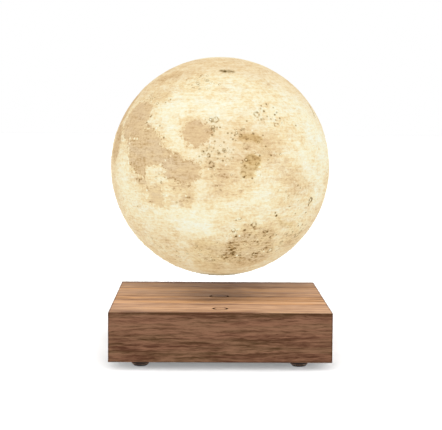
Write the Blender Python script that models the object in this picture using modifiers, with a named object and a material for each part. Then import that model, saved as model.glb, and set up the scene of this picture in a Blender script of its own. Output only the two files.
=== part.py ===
"""Levitating moon lamp: a printed moon globe that floats over a square walnut base.

Metres, +Z up. The origin is on the floor under the middle of the base, and the front of the
base faces -Y.
"""

import math

import bmesh
import bpy
from mathutils import Matrix, Vector

# Clearances
SEAT_GAP = 0.0003
FIT_GAP = 0.0003
CUT_OVERRUN = 0.001
WELD_DISTANCE = 0.00001

# Wooden case
CASE_SIDE = 0.134
CASE_HEIGHT = 0.030
CASE_WALL = 0.006
CASE_TOP_SKIN = 0.003
CASE_EDGE = 0.0005
CORNER_BLOCK = 0.014
REBATE_WIDTH = 0.002

# Rings engraved in the top
CENTRE_RING_DIAMETER = 0.0128
TOUCH_RING_DIAMETER = 0.0095
TOUCH_RING_INSET = 0.0165
GROOVE_WIDTH = 0.0012
GROOVE_DEPTH = 0.0006

# Bottom plate
PLATE_THICKNESS = 0.003
BOSS_HEIGHT = 0.002
BOSS_DIAMETER = 0.0080

# Feet
FOOT_HEIGHT = 0.0053
FOOT_TOP_DIAMETER = 0.0118
FOOT_BOTTOM_DIAMETER = 0.0092
FOOT_ROUNDING = 0.0009
FOOT_INSET = 0.0185

# Screws that hold the bottom plate, countersunk
CASE_SCREW_DIAMETER = 0.0030
CASE_SCREW_HEAD_DIAMETER = 0.0056
CASE_SCREW_HEAD_HEIGHT = 0.0016
CASE_SCREW_LENGTH = 0.0120
CASE_SCREW_INSET = 0.0045

# Screws that hold the levitation module, pan headed
MODULE_SCREW_DIAMETER = 0.0026
MODULE_SCREW_HEAD_DIAMETER = 0.0052
MODULE_SCREW_HEAD_HEIGHT = 0.0015
MODULE_SCREW_GRIP = 0.0022

# Cross recess of the screw heads
RECESS_LENGTH = 0.0027
RECESS_WIDTH = 0.0007
RECESS_DEPTH = 0.0008

# Control board and its components
BOARD_THICKNESS = 0.0016
BOARD_MARGIN = 0.001
BOARD_TAB_WIDTH = 0.014
CONTROL_CHIP_SIDE = 0.0090
COIL_DRIVER_SIDE = 0.0060
CHIP_HEIGHT = 0.0014
COIL_DRIVER_OFFSET = 0.0160
SUPPLY_CAPACITOR_DIAMETER = 0.0080
SUPPLY_CAPACITOR_HEIGHT = 0.0115
SUPPLY_CAPACITOR_INSET = 0.0060

# Supply inlet
JACK_BORE_DIAMETER = 0.0063
JACK_BORE_DEPTH = 0.0095
JACK_WALL = 0.00135
JACK_FLOOR = 0.00335
JACK_REAR = 0.0045
JACK_PIN_DIAMETER = 0.0021
JACK_PIN_SETBACK = 0.0007
JACK_BACK_ROOM = 0.0012
PLUG_RECESS_DIAMETER = 0.0110

# Levitation module
LEG_HEIGHT = 0.003
LEG_DIAMETER = 0.0070
FRAME_THICKNESS = 0.0015
FRAME_RIM = 0.0012
FRAME_RIM_HEIGHT = 0.004
YOKE_THICKNESS = 0.002
RING_HOLE_SHARE = 0.7045
COIL_CLEARANCE = 0.0015
COIL_SPACING = 0.003
CORE_SHARE = 0.353
BOBBIN_WALL = 0.001
BOBBIN_FLANGE = 0.0008
WINDING_INSET = 0.0006
HALL_BOARD_THICKNESS = 0.0012
HALL_CLEARANCE = 0.0008
HALL_SENSOR_SIDE = 0.0032
HALL_SENSOR_HEIGHT = 0.0015
TRAY_THICKNESS = 0.001
TRAY_HOLE_DIAMETER = 0.0080
TRAY_LIP = 0.0010
TRANSMIT_COIL_THICKNESS = 0.0012
TRANSMIT_COIL_LIP = 0.006
TRANSMIT_COIL_BAND = 0.012
TOUCH_PAD_DIAMETER = 0.010
TOUCH_PAD_THICKNESS = 0.0004

# Globe
MOON_DIAMETER = 0.140
MOON_WALL = 0.0016
LEVITATION_GAP = 0.014

# Magnet unit at the bottom of the globe
MAGNET_DIAMETER = 0.036
MAGNET_HEIGHT = 0.008
MAGNET_EDGE = 0.0005
CARRIER_WALL = 0.0015
CARRIER_TOP = 0.003
CARRIER_FLANGE = 0.001
CARRIER_FLANGE_LIP = 0.0001
RECEIVER_COIL_BAND = 0.0055
RECEIVER_COIL_HEIGHT = 0.003
CAP_FLOOR_MARGIN = 0.0002
SPIGOT_WALL = 0.0015
CAP_LEDGE = 0.0019
SNAP_LIP = 0.0008
SNAP_LIP_HEIGHT = 0.0012

# Driver board of the globe and its components
DRIVER_BOARD_OVERHANG = 0.0042
DRIVER_SCREW_DIAMETER = 0.0020
DRIVER_SCREW_HEAD_DIAMETER = 0.0036
DRIVER_SCREW_HEAD_HEIGHT = 0.0012
DRIVER_SCREW_GRIP = 0.0022
DRIVER_SCREW_INSET = 0.0048
DRIVER_PART_INSET = 0.0070
DRIVER_CHIP_SIDE = 0.0050
INDUCTOR_SIDE = 0.0060
INDUCTOR_HEIGHT = 0.0030
DRIVER_CAPACITOR_DIAMETER = 0.0050
DRIVER_CAPACITOR_HEIGHT = 0.0055

# Light source
LED_POST_DIAMETER = 0.0140
LED_POST_HEIGHT = 0.0080
LED_BOARD_DIAMETER = 0.030
LED_BOARD_THICKNESS = 0.0016
LED_SCREW_GRIP = 0.0040
LED_INSET = 0.0050
LED_SIDE = 0.0035
LED_HEIGHT = 0.0012
LED_BEVEL = 0.0003

# Edges sharper than these are kept sharp in shading, or chamfered
SHARP_ANGLE = math.radians(35)
CHAMFER_ANGLE = math.radians(40)

# Counts
COIL_COUNT = 4
LED_COUNT = 6
MODULE_SCREW_COUNT = 4
DRIVER_SCREW_COUNT = 2
GLOBE_SEGMENTS = 48
GLOBE_ARC_STEPS = 24
CAP_ARC_STEPS = 4
RING_SEGMENTS = 32
COIL_SEGMENTS = 20
SMALL_SEGMENTS = 12
FOOT_ARC_STEPS = 3

# Heights above the floor, worked out from the sizes above
case_bottom = FOOT_HEIGHT
case_top = case_bottom + CASE_HEIGHT
ceiling = case_top - CASE_TOP_SKIN
plate_top = case_bottom + PLATE_THICKNESS
boss_top = plate_top + BOSS_HEIGHT
board_bottom = boss_top + SEAT_GAP
board_top = board_bottom + BOARD_THICKNESS
leg_bottom = board_top + SEAT_GAP
frame_bottom = leg_bottom + LEG_HEIGHT
frame_top = frame_bottom + FRAME_THICKNESS
yoke_bottom = frame_top + SEAT_GAP
yoke_top = yoke_bottom + YOKE_THICKNESS
magnets_bottom = yoke_top + SEAT_GAP
transmit_coil_top = ceiling - SEAT_GAP
transmit_coil_bottom = transmit_coil_top - TRANSMIT_COIL_THICKNESS
tray_top = transmit_coil_bottom - SEAT_GAP
tray_bottom = tray_top - TRAY_THICKNESS
magnets_top = tray_bottom - SEAT_GAP
magnets_height = magnets_top - magnets_bottom
jack_bottom = board_top + SEAT_GAP
jack_bore_radius = JACK_BORE_DIAMETER / 2
jack_axis_height = jack_bottom + JACK_FLOOR + jack_bore_radius
jack_height = JACK_FLOOR + JACK_BORE_DIAMETER + JACK_WALL

# Plan sizes of the base
case_half = CASE_SIDE / 2
cavity_half = case_half - CASE_WALL
rebate_half = cavity_half + REBATE_WIDTH
block_start = cavity_half - CORNER_BLOCK
plate_half = rebate_half - FIT_GAP
board_half = block_start - BOARD_MARGIN
jack_face = cavity_half - FIT_GAP
jack_width = JACK_BORE_DIAMETER + 2 * JACK_WALL
jack_length = JACK_BORE_DEPTH + JACK_REAR
jack_back = jack_face - jack_length
frame_radius = jack_back - JACK_BACK_ROOM
ring_radius = frame_radius - FRAME_RIM - FIT_GAP
ring_hole_radius = ring_radius * RING_HOLE_SHARE
leg_circle_radius = (ring_radius + ring_hole_radius) / 2
foot_place = case_half - FOOT_INSET
case_screw_place = cavity_half - CASE_SCREW_INSET
touch_place = case_half - TOUCH_RING_INSET
transmit_coil_radius = ring_radius - TRANSMIT_COIL_LIP
transmit_coil_hole_radius = transmit_coil_radius - TRANSMIT_COIL_BAND

# Four equal coils that fill the ring, each clear of its neighbours
coil_room = ring_hole_radius - COIL_CLEARANCE
coil_turn = math.tau / COIL_COUNT
coil_chord_share = 2 * math.sin(coil_turn / 2)
coil_radius = (coil_chord_share * coil_room - COIL_SPACING) / (2 + coil_chord_share)
core_radius = coil_radius * CORE_SHARE
coil_circle_radius = coil_room - coil_radius
hall_board_radius = coil_circle_radius - coil_radius - HALL_CLEARANCE

# Plan sizes of the globe's magnet unit, from the magnet outwards
moon_radius = MOON_DIAMETER / 2
moon_inner_radius = moon_radius - MOON_WALL
magnet_radius = MAGNET_DIAMETER / 2
carrier_hole_radius = magnet_radius + FIT_GAP
carrier_radius = carrier_hole_radius + CARRIER_WALL
receiver_coil_hole_radius = carrier_radius + FIT_GAP
receiver_coil_radius = receiver_coil_hole_radius + RECEIVER_COIL_BAND
flange_radius = receiver_coil_radius + FIT_GAP + CARRIER_FLANGE_LIP
spigot_hole_radius = flange_radius + FIT_GAP
spigot_radius = spigot_hole_radius + SPIGOT_WALL
cap_radius = spigot_radius + CAP_LEDGE
opening_radius = cap_radius + FIT_GAP
snap_radius = opening_radius + SNAP_LIP
driver_board_radius = carrier_radius + DRIVER_BOARD_OVERHANG
driver_part_radius = driver_board_radius - DRIVER_PART_INSET
driver_screw_radius = carrier_radius - DRIVER_SCREW_INSET
led_board_radius = LED_BOARD_DIAMETER / 2
led_circle_radius = led_board_radius - LED_INSET


def inner_height(radius):
    """Height of the globe's inner surface above the globe's lowest point."""
    return moon_radius - math.sqrt(moon_inner_radius ** 2 - radius ** 2)


# Heights above the globe's lowest point
cap_floor_radius = carrier_radius + CAP_FLOOR_MARGIN
cap_floor = inner_height(cap_floor_radius)
magnet_bottom = cap_floor + SEAT_GAP
magnet_top = magnet_bottom + MAGNET_HEIGHT
carrier_bottom = cap_floor + SEAT_GAP
carrier_ceiling = magnet_top + SEAT_GAP
carrier_top = carrier_ceiling + CARRIER_TOP
flange_bottom = inner_height(flange_radius) + SEAT_GAP
flange_top = flange_bottom + CARRIER_FLANGE
receiver_coil_bottom = flange_top + SEAT_GAP
snap_bottom = inner_height(snap_radius) + SEAT_GAP
snap_top = snap_bottom + SNAP_LIP_HEIGHT
driver_board_bottom = carrier_top + SEAT_GAP
driver_board_top = driver_board_bottom + BOARD_THICKNESS
driver_part_bottom = driver_board_top + SEAT_GAP
led_post_top = driver_part_bottom + LED_POST_HEIGHT
led_board_bottom = led_post_top + SEAT_GAP
led_board_top = led_board_bottom + LED_BOARD_THICKNESS
led_bottom = led_board_top + SEAT_GAP

# Base colour, roughness and metallic of each finish
FINISHES = {
    "walnut": ((0.30, 0.16, 0.085), 0.55, 0.0),
    "moon_print": ((0.86, 0.77, 0.58), 0.70, 0.0),
    "cap_print": ((0.82, 0.74, 0.58), 0.70, 0.0),
    "rubber": ((0.018, 0.015, 0.013), 0.85, 0.0),
    "black_plastic": ((0.020, 0.020, 0.022), 0.50, 0.0),
    "white_plastic": ((0.75, 0.74, 0.70), 0.45, 0.0),
    "zinc_steel": ((0.62, 0.62, 0.62), 0.35, 1.0),
    "soft_iron": ((0.30, 0.30, 0.31), 0.45, 1.0),
    "ferrite": ((0.045, 0.045, 0.050), 0.60, 0.0),
    "nickel": ((0.72, 0.70, 0.66), 0.22, 1.0),
    "copper": ((0.72, 0.30, 0.13), 0.35, 1.0),
    "circuit_board": ((0.015, 0.12, 0.045), 0.40, 0.0),
    "white_board": ((0.80, 0.80, 0.78), 0.40, 0.0),
    "chip": ((0.015, 0.015, 0.016), 0.45, 0.0),
    "aluminium": ((0.78, 0.78, 0.79), 0.32, 1.0),
    "phosphor": ((0.90, 0.72, 0.18), 0.40, 0.0),
}


def clear_scene():
    """Remove every object that the file opens with."""
    for old in list(bpy.data.objects):
        bpy.data.objects.remove(old, do_unlink=True)


def new_collection(name):
    """A collection under the scene's own."""
    collection = bpy.data.collections.new(name)
    bpy.context.scene.collection.children.link(collection)
    return collection


def new_material(name, finish):
    """A Principled material for one sub-part."""
    colour, roughness, metallic = FINISHES[finish]
    material = bpy.data.materials.new(name)
    material.use_nodes = True
    shader = material.node_tree.nodes["Principled BSDF"]
    shader.inputs["Base Color"].default_value = (*colour, 1.0)
    shader.inputs["Roughness"].default_value = roughness
    shader.inputs["Metallic"].default_value = metallic
    return material


def new_empty(name, height, parent=None):
    """An empty on the lamp's upright axis."""
    empty = bpy.data.objects.new(name, None)
    empty.location.z = height
    empty.parent = parent
    lamp.objects.link(empty)
    return empty


def place(name, mesh, finish, parent, location=(0, 0, 0), turn=0.0):
    """A sub-part from a mesh, with its own material, under its parent."""
    piece = bpy.data.objects.new(name, mesh)
    piece.location = location
    piece.rotation_euler.z = turn
    piece.parent = parent
    lamp.objects.link(piece)
    if not mesh.materials:
        mesh.materials.append(new_material(name, finish))
    return piece


def on_circle(radius, index, count, height, start=0.0):
    """A place on a circle round the axis."""
    angle = start + math.tau * index / count
    return (radius * math.cos(angle), radius * math.sin(angle), height)


def box_mesh(name, size):
    """A box centred on the axis, standing on height zero."""
    shape = bmesh.new()
    middle = Matrix.Translation((0, 0, size[2] / 2))
    bmesh.ops.create_cube(shape, size=1, matrix=middle @ Matrix.Diagonal((*size, 1)))
    mesh = bpy.data.meshes.new(name)
    shape.to_mesh(mesh)
    shape.free()
    return mesh


def rods_mesh(name, rods, segments):
    """Upright rods in one mesh, each given as its foot, radius, height and top radius."""
    shape = bmesh.new()
    for foot, radius, height, top_radius in rods:
        middle = Matrix.Translation((foot[0], foot[1], foot[2] + height / 2))
        bmesh.ops.create_cone(shape, cap_ends=True, segments=segments, radius1=radius,
                              radius2=top_radius, depth=height, matrix=middle)
    mesh = bpy.data.meshes.new(name)
    shape.to_mesh(mesh)
    shape.free()
    return mesh


def rod(foot, radius, height, top_radius=None):
    """One upright rod for rods_mesh."""
    return foot, radius, height, radius if top_radius is None else top_radius


def smooth(mesh):
    """Shade the round faces smooth and keep the sharp edges."""
    mesh.shade_smooth()
    mesh.set_sharp_from_angle(angle=SHARP_ANGLE)


def evaluated_mesh(piece, name):
    """The mesh of an object as its modifiers make it, with its loose caps welded."""
    graph = bpy.context.evaluated_depsgraph_get()
    mesh = bpy.data.meshes.new_from_object(piece.evaluated_get(graph))
    mesh.name = name
    shape = bmesh.new()
    shape.from_mesh(mesh)
    bmesh.ops.remove_doubles(shape, verts=shape.verts, dist=WELD_DISTANCE)
    shape.to_mesh(mesh)
    shape.free()
    return mesh


def baked(data, name, modify):
    """A mesh made from a temporary object, after a function has given it modifiers."""
    helper = bpy.data.objects.new(name + "_helper", data)
    cutters.objects.link(helper)
    modify(helper)
    mesh = evaluated_mesh(helper, name)
    bpy.data.objects.remove(helper, do_unlink=True)
    return mesh


def turned_mesh(name, profile, segments, closed=False):
    """A turned solid. The profile holds pairs of radius and height, and runs down the outer side.
    A closed profile makes a ring, and an open one starts and ends on the axis."""
    count = len(profile)
    edges = [(i, i + 1) for i in range(count - 1)]
    if closed:
        edges.append((count - 1, 0))
    outline = bpy.data.meshes.new(name + "_profile")
    outline.from_pydata([(radius, 0, height) for radius, height in profile], edges, [])

    def turn(helper):
        screw = helper.modifiers.new("turn", "SCREW")
        screw.steps = segments
        screw.render_steps = segments
        screw.use_merge_vertices = True
        screw.merge_threshold = WELD_DISTANCE

    mesh = baked(outline, name, turn)
    smooth(mesh)
    return mesh


def ring_mesh(name, hole_radius, radius, height, segments):
    """A flat ring that stands on height zero."""
    profile = [(radius, height), (radius, 0), (hole_radius, 0), (hole_radius, height)]
    return turned_mesh(name, profile, segments, closed=True)


def outline_mesh(name, points, height):
    """A flat outline in the XY plane, extruded upwards from height zero."""
    curve = bpy.data.curves.new(name, "CURVE")
    curve.dimensions = "2D"
    curve.fill_mode = "BOTH"
    curve.extrude = height / 2
    spline = curve.splines.new("POLY")
    spline.points.add(len(points) - 1)
    for point, (x, y) in zip(spline.points, points):
        point.co = (x, y, 0, 1)
    spline.use_cyclic_u = True
    mesh = baked(curve, name, lambda helper: None)
    mesh.transform(Matrix.Translation((0, 0, height / 2)))
    return mesh


def plus_outline(reach, arm):
    """A plus sign: a square of half width reach without its corners beyond arm."""
    quarter = [(reach, -arm), (reach, arm), (arm, arm)]
    points = []
    for step in range(4):
        turn = Matrix.Rotation(step * math.pi / 2, 2)
        points += [tuple(turn @ Vector(point)) for point in quarter]
    return points


def add_cutter(name, mesh, location=(0, 0, 0)):
    """A hidden object that only cuts."""
    cutter = bpy.data.objects.new(name, mesh)
    cutter.location = location
    cutter.hide_render = True
    cutter.display_type = "WIRE"
    cutters.objects.link(cutter)
    return cutter


def add_boolean(piece, tool, operation="DIFFERENCE"):
    """Cut a piece with a tool, or join the two."""
    modifier = piece.modifiers.new(operation.lower() + "_" + tool.name, "BOOLEAN")
    modifier.operation = operation
    modifier.solver = "EXACT"
    modifier.object = tool


def add_bevel(piece, width):
    """Chamfer the sharp edges of a piece."""
    bevel = piece.modifiers.new("edge", "BEVEL")
    bevel.width = width
    bevel.segments = 1
    bevel.limit_method = "ANGLE"
    bevel.angle_limit = CHAMFER_ANGLE


def beveled_mesh(mesh, name, width):
    """The same mesh with small chamfers on its sharp edges."""
    return baked(mesh, name, lambda helper: add_bevel(helper, width))


def corners(reach):
    """The four corners of a square, with the names that say where they are."""
    return [("front_left", -reach, -reach), ("front_right", reach, -reach),
            ("rear_left", -reach, reach), ("rear_right", reach, reach)]


def module_screw_places(height):
    """Where the four screws of the levitation module stand."""
    return [on_circle(leg_circle_radius, index, MODULE_SCREW_COUNT, height, coil_turn / 2)
            for index in range(MODULE_SCREW_COUNT)]


def make_wooden_case():
    """The hollowed walnut block: top skin, walls, corner blocks and the two engraved rings."""
    block = box_mesh("wooden_case", (CASE_SIDE, CASE_SIDE, CASE_HEIGHT))
    case = place("wooden_case", beveled_mesh(block, "wooden_case", CASE_EDGE), "walnut", base,
                 (0, 0, case_bottom))
    cavity = outline_mesh("cavity", plus_outline(cavity_half, block_start),
                          ceiling - case_bottom + CUT_OVERRUN)
    add_boolean(case, add_cutter("cavity", cavity, (0, 0, case_bottom - CUT_OVERRUN)))
    rebate = box_mesh("rebate", (2 * rebate_half, 2 * rebate_half,
                                 PLATE_THICKNESS + SEAT_GAP + CUT_OVERRUN))
    add_boolean(case, add_cutter("rebate", rebate, (0, 0, case_bottom - CUT_OVERRUN)))

    hole_radius = CASE_SCREW_DIAMETER / 2 + FIT_GAP
    hole_depth = CASE_SCREW_LENGTH + SEAT_GAP - PLATE_THICKNESS
    pilots = [rod((x, y, plate_top), hole_radius, hole_depth)
              for _, x, y in corners(case_screw_place)]
    add_boolean(case, add_cutter("pilots", rods_mesh("pilots", pilots, SMALL_SEGMENTS)))

    plug_way = rods_mesh("plug_recess", [rod((0, 0, 0), PLUG_RECESS_DIAMETER / 2,
                                             CASE_WALL + 2 * CUT_OVERRUN)], COIL_SEGMENTS)
    recess = add_cutter("plug_recess", plug_way, (0, case_half + CUT_OVERRUN, jack_axis_height))
    recess.rotation_euler.x = math.pi / 2
    add_boolean(case, recess)

    for name, diameter, y in (("centre_ring", CENTRE_RING_DIAMETER, 0),
                              ("touch_ring", TOUCH_RING_DIAMETER, -touch_place)):
        groove = ring_mesh(name, diameter / 2 - GROOVE_WIDTH, diameter / 2,
                           GROOVE_DEPTH + CUT_OVERRUN, COIL_SEGMENTS)
        add_boolean(case, add_cutter(name, groove, (0, y, case_top - GROOVE_DEPTH)))


def make_bottom_plate():
    """The plate that closes the case, with a boss under each leg of the module."""
    side = 2 * plate_half
    plate = place("bottom_plate", box_mesh("bottom_plate", (side, side, PLATE_THICKNESS)),
                  "black_plastic", base, (0, 0, case_bottom))
    root = plate_top - CUT_OVERRUN
    bosses = [rod(spot, BOSS_DIAMETER / 2, boss_top - root) for spot in module_screw_places(root)]
    add_boolean(plate, add_cutter("bosses", rods_mesh("bosses", bosses, COIL_SEGMENTS)), "UNION")

    below = case_bottom - CUT_OVERRUN
    shafts = [rod(spot, MODULE_SCREW_DIAMETER / 2 + FIT_GAP, boss_top + CUT_OVERRUN - below)
              for spot in module_screw_places(below)]
    shafts += [rod((x, y, below), CASE_SCREW_DIAMETER / 2 + FIT_GAP,
                   PLATE_THICKNESS + 2 * CUT_OVERRUN)
               for _, x, y in corners(case_screw_place)]
    add_boolean(plate, add_cutter("plate_holes", rods_mesh("plate_holes", shafts, SMALL_SEGMENTS)))

    head_depth = MODULE_SCREW_HEAD_HEIGHT + SEAT_GAP + CUT_OVERRUN
    seats = [rod(spot, MODULE_SCREW_HEAD_DIAMETER / 2 + FIT_GAP, head_depth)
             for spot in module_screw_places(below)]
    mouth_radius = CASE_SCREW_HEAD_DIAMETER / 2 + FIT_GAP
    neck_radius = CASE_SCREW_DIAMETER / 2 + FIT_GAP
    slope = (mouth_radius - neck_radius) / CASE_SCREW_HEAD_HEIGHT
    seats += [rod((x, y, below), mouth_radius + slope * CUT_OVERRUN,
                  CASE_SCREW_HEAD_HEIGHT + CUT_OVERRUN, neck_radius)
              for _, x, y in corners(case_screw_place)]
    add_boolean(plate, add_cutter("head_seats", rods_mesh("head_seats", seats, SMALL_SEGMENTS)))


def make_feet():
    """Four rubber feet, tapered and rounded at the floor."""
    top_radius = FOOT_TOP_DIAMETER / 2
    bottom_radius = FOOT_BOTTOM_DIAMETER / 2
    height = FOOT_HEIGHT - SEAT_GAP
    profile = [(0, height), (top_radius, height), (bottom_radius, FOOT_ROUNDING)]
    for step in range(1, FOOT_ARC_STEPS + 1):
        angle = step / FOOT_ARC_STEPS * math.pi / 2
        profile.append((bottom_radius - FOOT_ROUNDING * (1 - math.cos(angle)),
                        FOOT_ROUNDING * (1 - math.sin(angle))))
    profile.append((0, 0))
    mesh = turned_mesh("foot", profile, COIL_SEGMENTS)
    for corner, x, y in corners(foot_place):
        place("foot_" + corner, mesh, "rubber", base, (x, y, 0))


def screw_mesh(name, profile):
    """A screw whose head is at height zero and looks down, with a cross recess in it."""
    cross = add_cutter(name + "_recess",
                       outline_mesh(name + "_recess",
                                    plus_outline(RECESS_LENGTH / 2, RECESS_WIDTH / 2),
                                    RECESS_DEPTH + CUT_OVERRUN),
                       (0, 0, -CUT_OVERRUN))
    mesh = baked(turned_mesh(name, profile, SMALL_SEGMENTS), name,
                 lambda helper: add_boolean(helper, cross))
    bpy.data.objects.remove(cross, do_unlink=True)
    smooth(mesh)
    return mesh


def make_case_screws():
    """Countersunk screws from below, through the plate into the corner blocks."""
    radius = CASE_SCREW_DIAMETER / 2
    head_radius = CASE_SCREW_HEAD_DIAMETER / 2
    profile = [(0, CASE_SCREW_LENGTH), (radius / 2, CASE_SCREW_LENGTH),
               (radius, CASE_SCREW_LENGTH - radius), (radius, CASE_SCREW_HEAD_HEIGHT),
               (head_radius, 0), (0, 0)]
    mesh = screw_mesh("case_screw", profile)
    for corner, x, y in corners(case_screw_place):
        place("case_screw_" + corner, mesh, "zinc_steel", base, (x, y, case_bottom))


def make_module_screws():
    """Pan headed screws from below, through plate and board into the frame's legs."""
    radius = MODULE_SCREW_DIAMETER / 2
    head_radius = MODULE_SCREW_HEAD_DIAMETER / 2
    length = leg_bottom + MODULE_SCREW_GRIP - case_bottom
    profile = [(0, length), (radius, length), (radius, MODULE_SCREW_HEAD_HEIGHT),
               (head_radius, MODULE_SCREW_HEAD_HEIGHT), (head_radius, 0), (0, 0)]
    mesh = screw_mesh("module_screw", profile)
    for index, spot in enumerate(module_screw_places(case_bottom)):
        place(f"module_screw_{index + 1}", mesh, "zinc_steel", base, spot)


def make_control_board():
    """The square board with a tab that carries the inlet, and what is soldered to it."""
    tab = BOARD_TAB_WIDTH / 2
    outline = [(-board_half, -board_half), (board_half, -board_half), (board_half, board_half),
               (tab, board_half), (tab, jack_face), (-tab, jack_face), (-tab, board_half),
               (-board_half, board_half)]
    board = place("control_board", outline_mesh("control_board", outline, BOARD_THICKNESS),
                  "circuit_board", base, (0, 0, board_bottom))
    below = board_bottom - CUT_OVERRUN
    holes = [rod(spot, MODULE_SCREW_DIAMETER / 2 + FIT_GAP, BOARD_THICKNESS + 2 * CUT_OVERRUN)
             for spot in module_screw_places(below)]
    add_boolean(board, add_cutter("board_holes", rods_mesh("board_holes", holes, SMALL_SEGMENTS)))

    on_board = board_top + SEAT_GAP
    place("control_chip", box_mesh("control_chip", (CONTROL_CHIP_SIDE, CONTROL_CHIP_SIDE,
                                                    CHIP_HEIGHT)), "chip", base, (0, 0, on_board))
    place("coil_driver", box_mesh("coil_driver", (COIL_DRIVER_SIDE, COIL_DRIVER_SIDE,
                                                  CHIP_HEIGHT)), "chip", base,
          (COIL_DRIVER_OFFSET, 0, on_board))
    capacitor_place = board_half - SUPPLY_CAPACITOR_INSET
    capacitor = rods_mesh("supply_capacitor", [rod((0, 0, 0), SUPPLY_CAPACITOR_DIAMETER / 2,
                                                   SUPPLY_CAPACITOR_HEIGHT)], COIL_SEGMENTS)
    smooth(capacitor)
    place("supply_capacitor", capacitor, "aluminium", base,
          (capacitor_place, capacitor_place, on_board))


def make_dc_jack():
    """The inlet behind the recess in the rear wall, and its centre pin."""
    jack = place("dc_jack", box_mesh("dc_jack", (jack_width, jack_length, jack_height)),
                 "black_plastic", base, (0, jack_face - jack_length / 2, jack_bottom))
    bore = add_cutter("jack_bore", rods_mesh("jack_bore", [
        rod((0, 0, -CUT_OVERRUN), jack_bore_radius, JACK_BORE_DEPTH + CUT_OVERRUN)],
        COIL_SEGMENTS), (0, jack_face, jack_axis_height))
    bore.rotation_euler.x = math.pi / 2
    add_boolean(jack, bore)

    pin_length = JACK_BORE_DEPTH - SEAT_GAP - JACK_PIN_SETBACK
    mesh = rods_mesh("dc_jack_pin", [rod((0, 0, 0), JACK_PIN_DIAMETER / 2, pin_length)],
                     SMALL_SEGMENTS)
    smooth(mesh)
    pin = place("dc_jack_pin", mesh, "nickel", base,
                (0, jack_face - JACK_PIN_SETBACK, jack_axis_height))
    pin.rotation_euler.x = math.pi / 2


def make_module_frame():
    """The moulded ring that carries the yoke and the magnets on four legs."""
    rim_top = yoke_bottom + FRAME_RIM_HEIGHT
    profile = [(frame_radius, rim_top), (frame_radius, frame_bottom),
               (ring_hole_radius, frame_bottom), (ring_hole_radius, frame_top),
               (ring_radius + FIT_GAP, frame_top), (ring_radius + FIT_GAP, rim_top)]
    frame = place("module_frame", turned_mesh("module_frame", profile, RING_SEGMENTS, closed=True),
                  "black_plastic", base)
    root = frame_bottom + FRAME_THICKNESS / 2
    legs = [rod(spot, LEG_DIAMETER / 2, root - leg_bottom)
            for spot in module_screw_places(leg_bottom)]
    add_boolean(frame, add_cutter("legs", rods_mesh("legs", legs, COIL_SEGMENTS)), "UNION")
    below = leg_bottom - CUT_OVERRUN
    pilots = [rod(spot, MODULE_SCREW_DIAMETER / 2 + FIT_GAP,
                  CUT_OVERRUN + MODULE_SCREW_GRIP + SEAT_GAP)
              for spot in module_screw_places(below)]
    add_boolean(frame, add_cutter("leg_pilots", rods_mesh("leg_pilots", pilots, SMALL_SEGMENTS)))


def make_magnets():
    """The steel yoke and the ferrite ring on it."""
    yoke = rods_mesh("yoke_plate", [rod((0, 0, 0), ring_radius, YOKE_THICKNESS)], RING_SEGMENTS)
    smooth(yoke)
    place("yoke_plate", yoke, "soft_iron", base, (0, 0, yoke_bottom))
    place("ring_magnet", ring_mesh("ring_magnet", ring_hole_radius, ring_radius, magnets_height,
                                   RING_SEGMENTS), "ferrite", base, (0, 0, magnets_bottom))


def make_electromagnets():
    """Four coils inside the ring, each with its core and bobbin."""
    bore_radius = core_radius + FIT_GAP
    barrel_radius = bore_radius + BOBBIN_WALL
    flange = BOBBIN_FLANGE
    core = rods_mesh("coil_core", [rod((0, 0, 0), core_radius, magnets_height)], SMALL_SEGMENTS)
    smooth(core)
    bobbin = turned_mesh("coil_bobbin", [
        (coil_radius, magnets_height), (coil_radius, magnets_height - flange),
        (barrel_radius, magnets_height - flange), (barrel_radius, flange),
        (coil_radius, flange), (coil_radius, 0), (bore_radius, 0),
        (bore_radius, magnets_height)], COIL_SEGMENTS, closed=True)
    winding = ring_mesh("coil_winding", barrel_radius + FIT_GAP, coil_radius - WINDING_INSET,
                        magnets_height - 2 * (flange + SEAT_GAP), COIL_SEGMENTS)
    for index in range(COIL_COUNT):
        number = index + 1
        spot = on_circle(coil_circle_radius, index, COIL_COUNT, magnets_bottom)
        place(f"coil_core_{number}", core, "soft_iron", base, spot)
        place(f"coil_bobbin_{number}", bobbin, "white_plastic", base, spot)
        place(f"coil_winding_{number}", winding, "copper", base,
              (spot[0], spot[1], magnets_bottom + flange + SEAT_GAP))


def make_hall_board():
    """The sensor board under the middle of the tray, with two sensors under it."""
    disc = rods_mesh("hall_board", [rod((0, 0, 0), hall_board_radius, HALL_BOARD_THICKNESS)],
                     COIL_SEGMENTS)
    board = place("hall_board", disc, "circuit_board", base,
                  (0, 0, magnets_top - HALL_BOARD_THICKNESS))
    sink = HALL_BOARD_THICKNESS / 2
    size = (HALL_SENSOR_SIDE, HALL_SENSOR_SIDE, HALL_SENSOR_HEIGHT + sink)
    bottom = magnets_top - HALL_BOARD_THICKNESS - HALL_SENSOR_HEIGHT
    for name, side in (("hall_sensor_left", -1), ("hall_sensor_right", 1)):
        sensor = add_cutter(name, box_mesh(name, size),
                            (side * hall_board_radius / 2, 0, bottom))
        add_boolean(board, sensor, "UNION")


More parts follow.
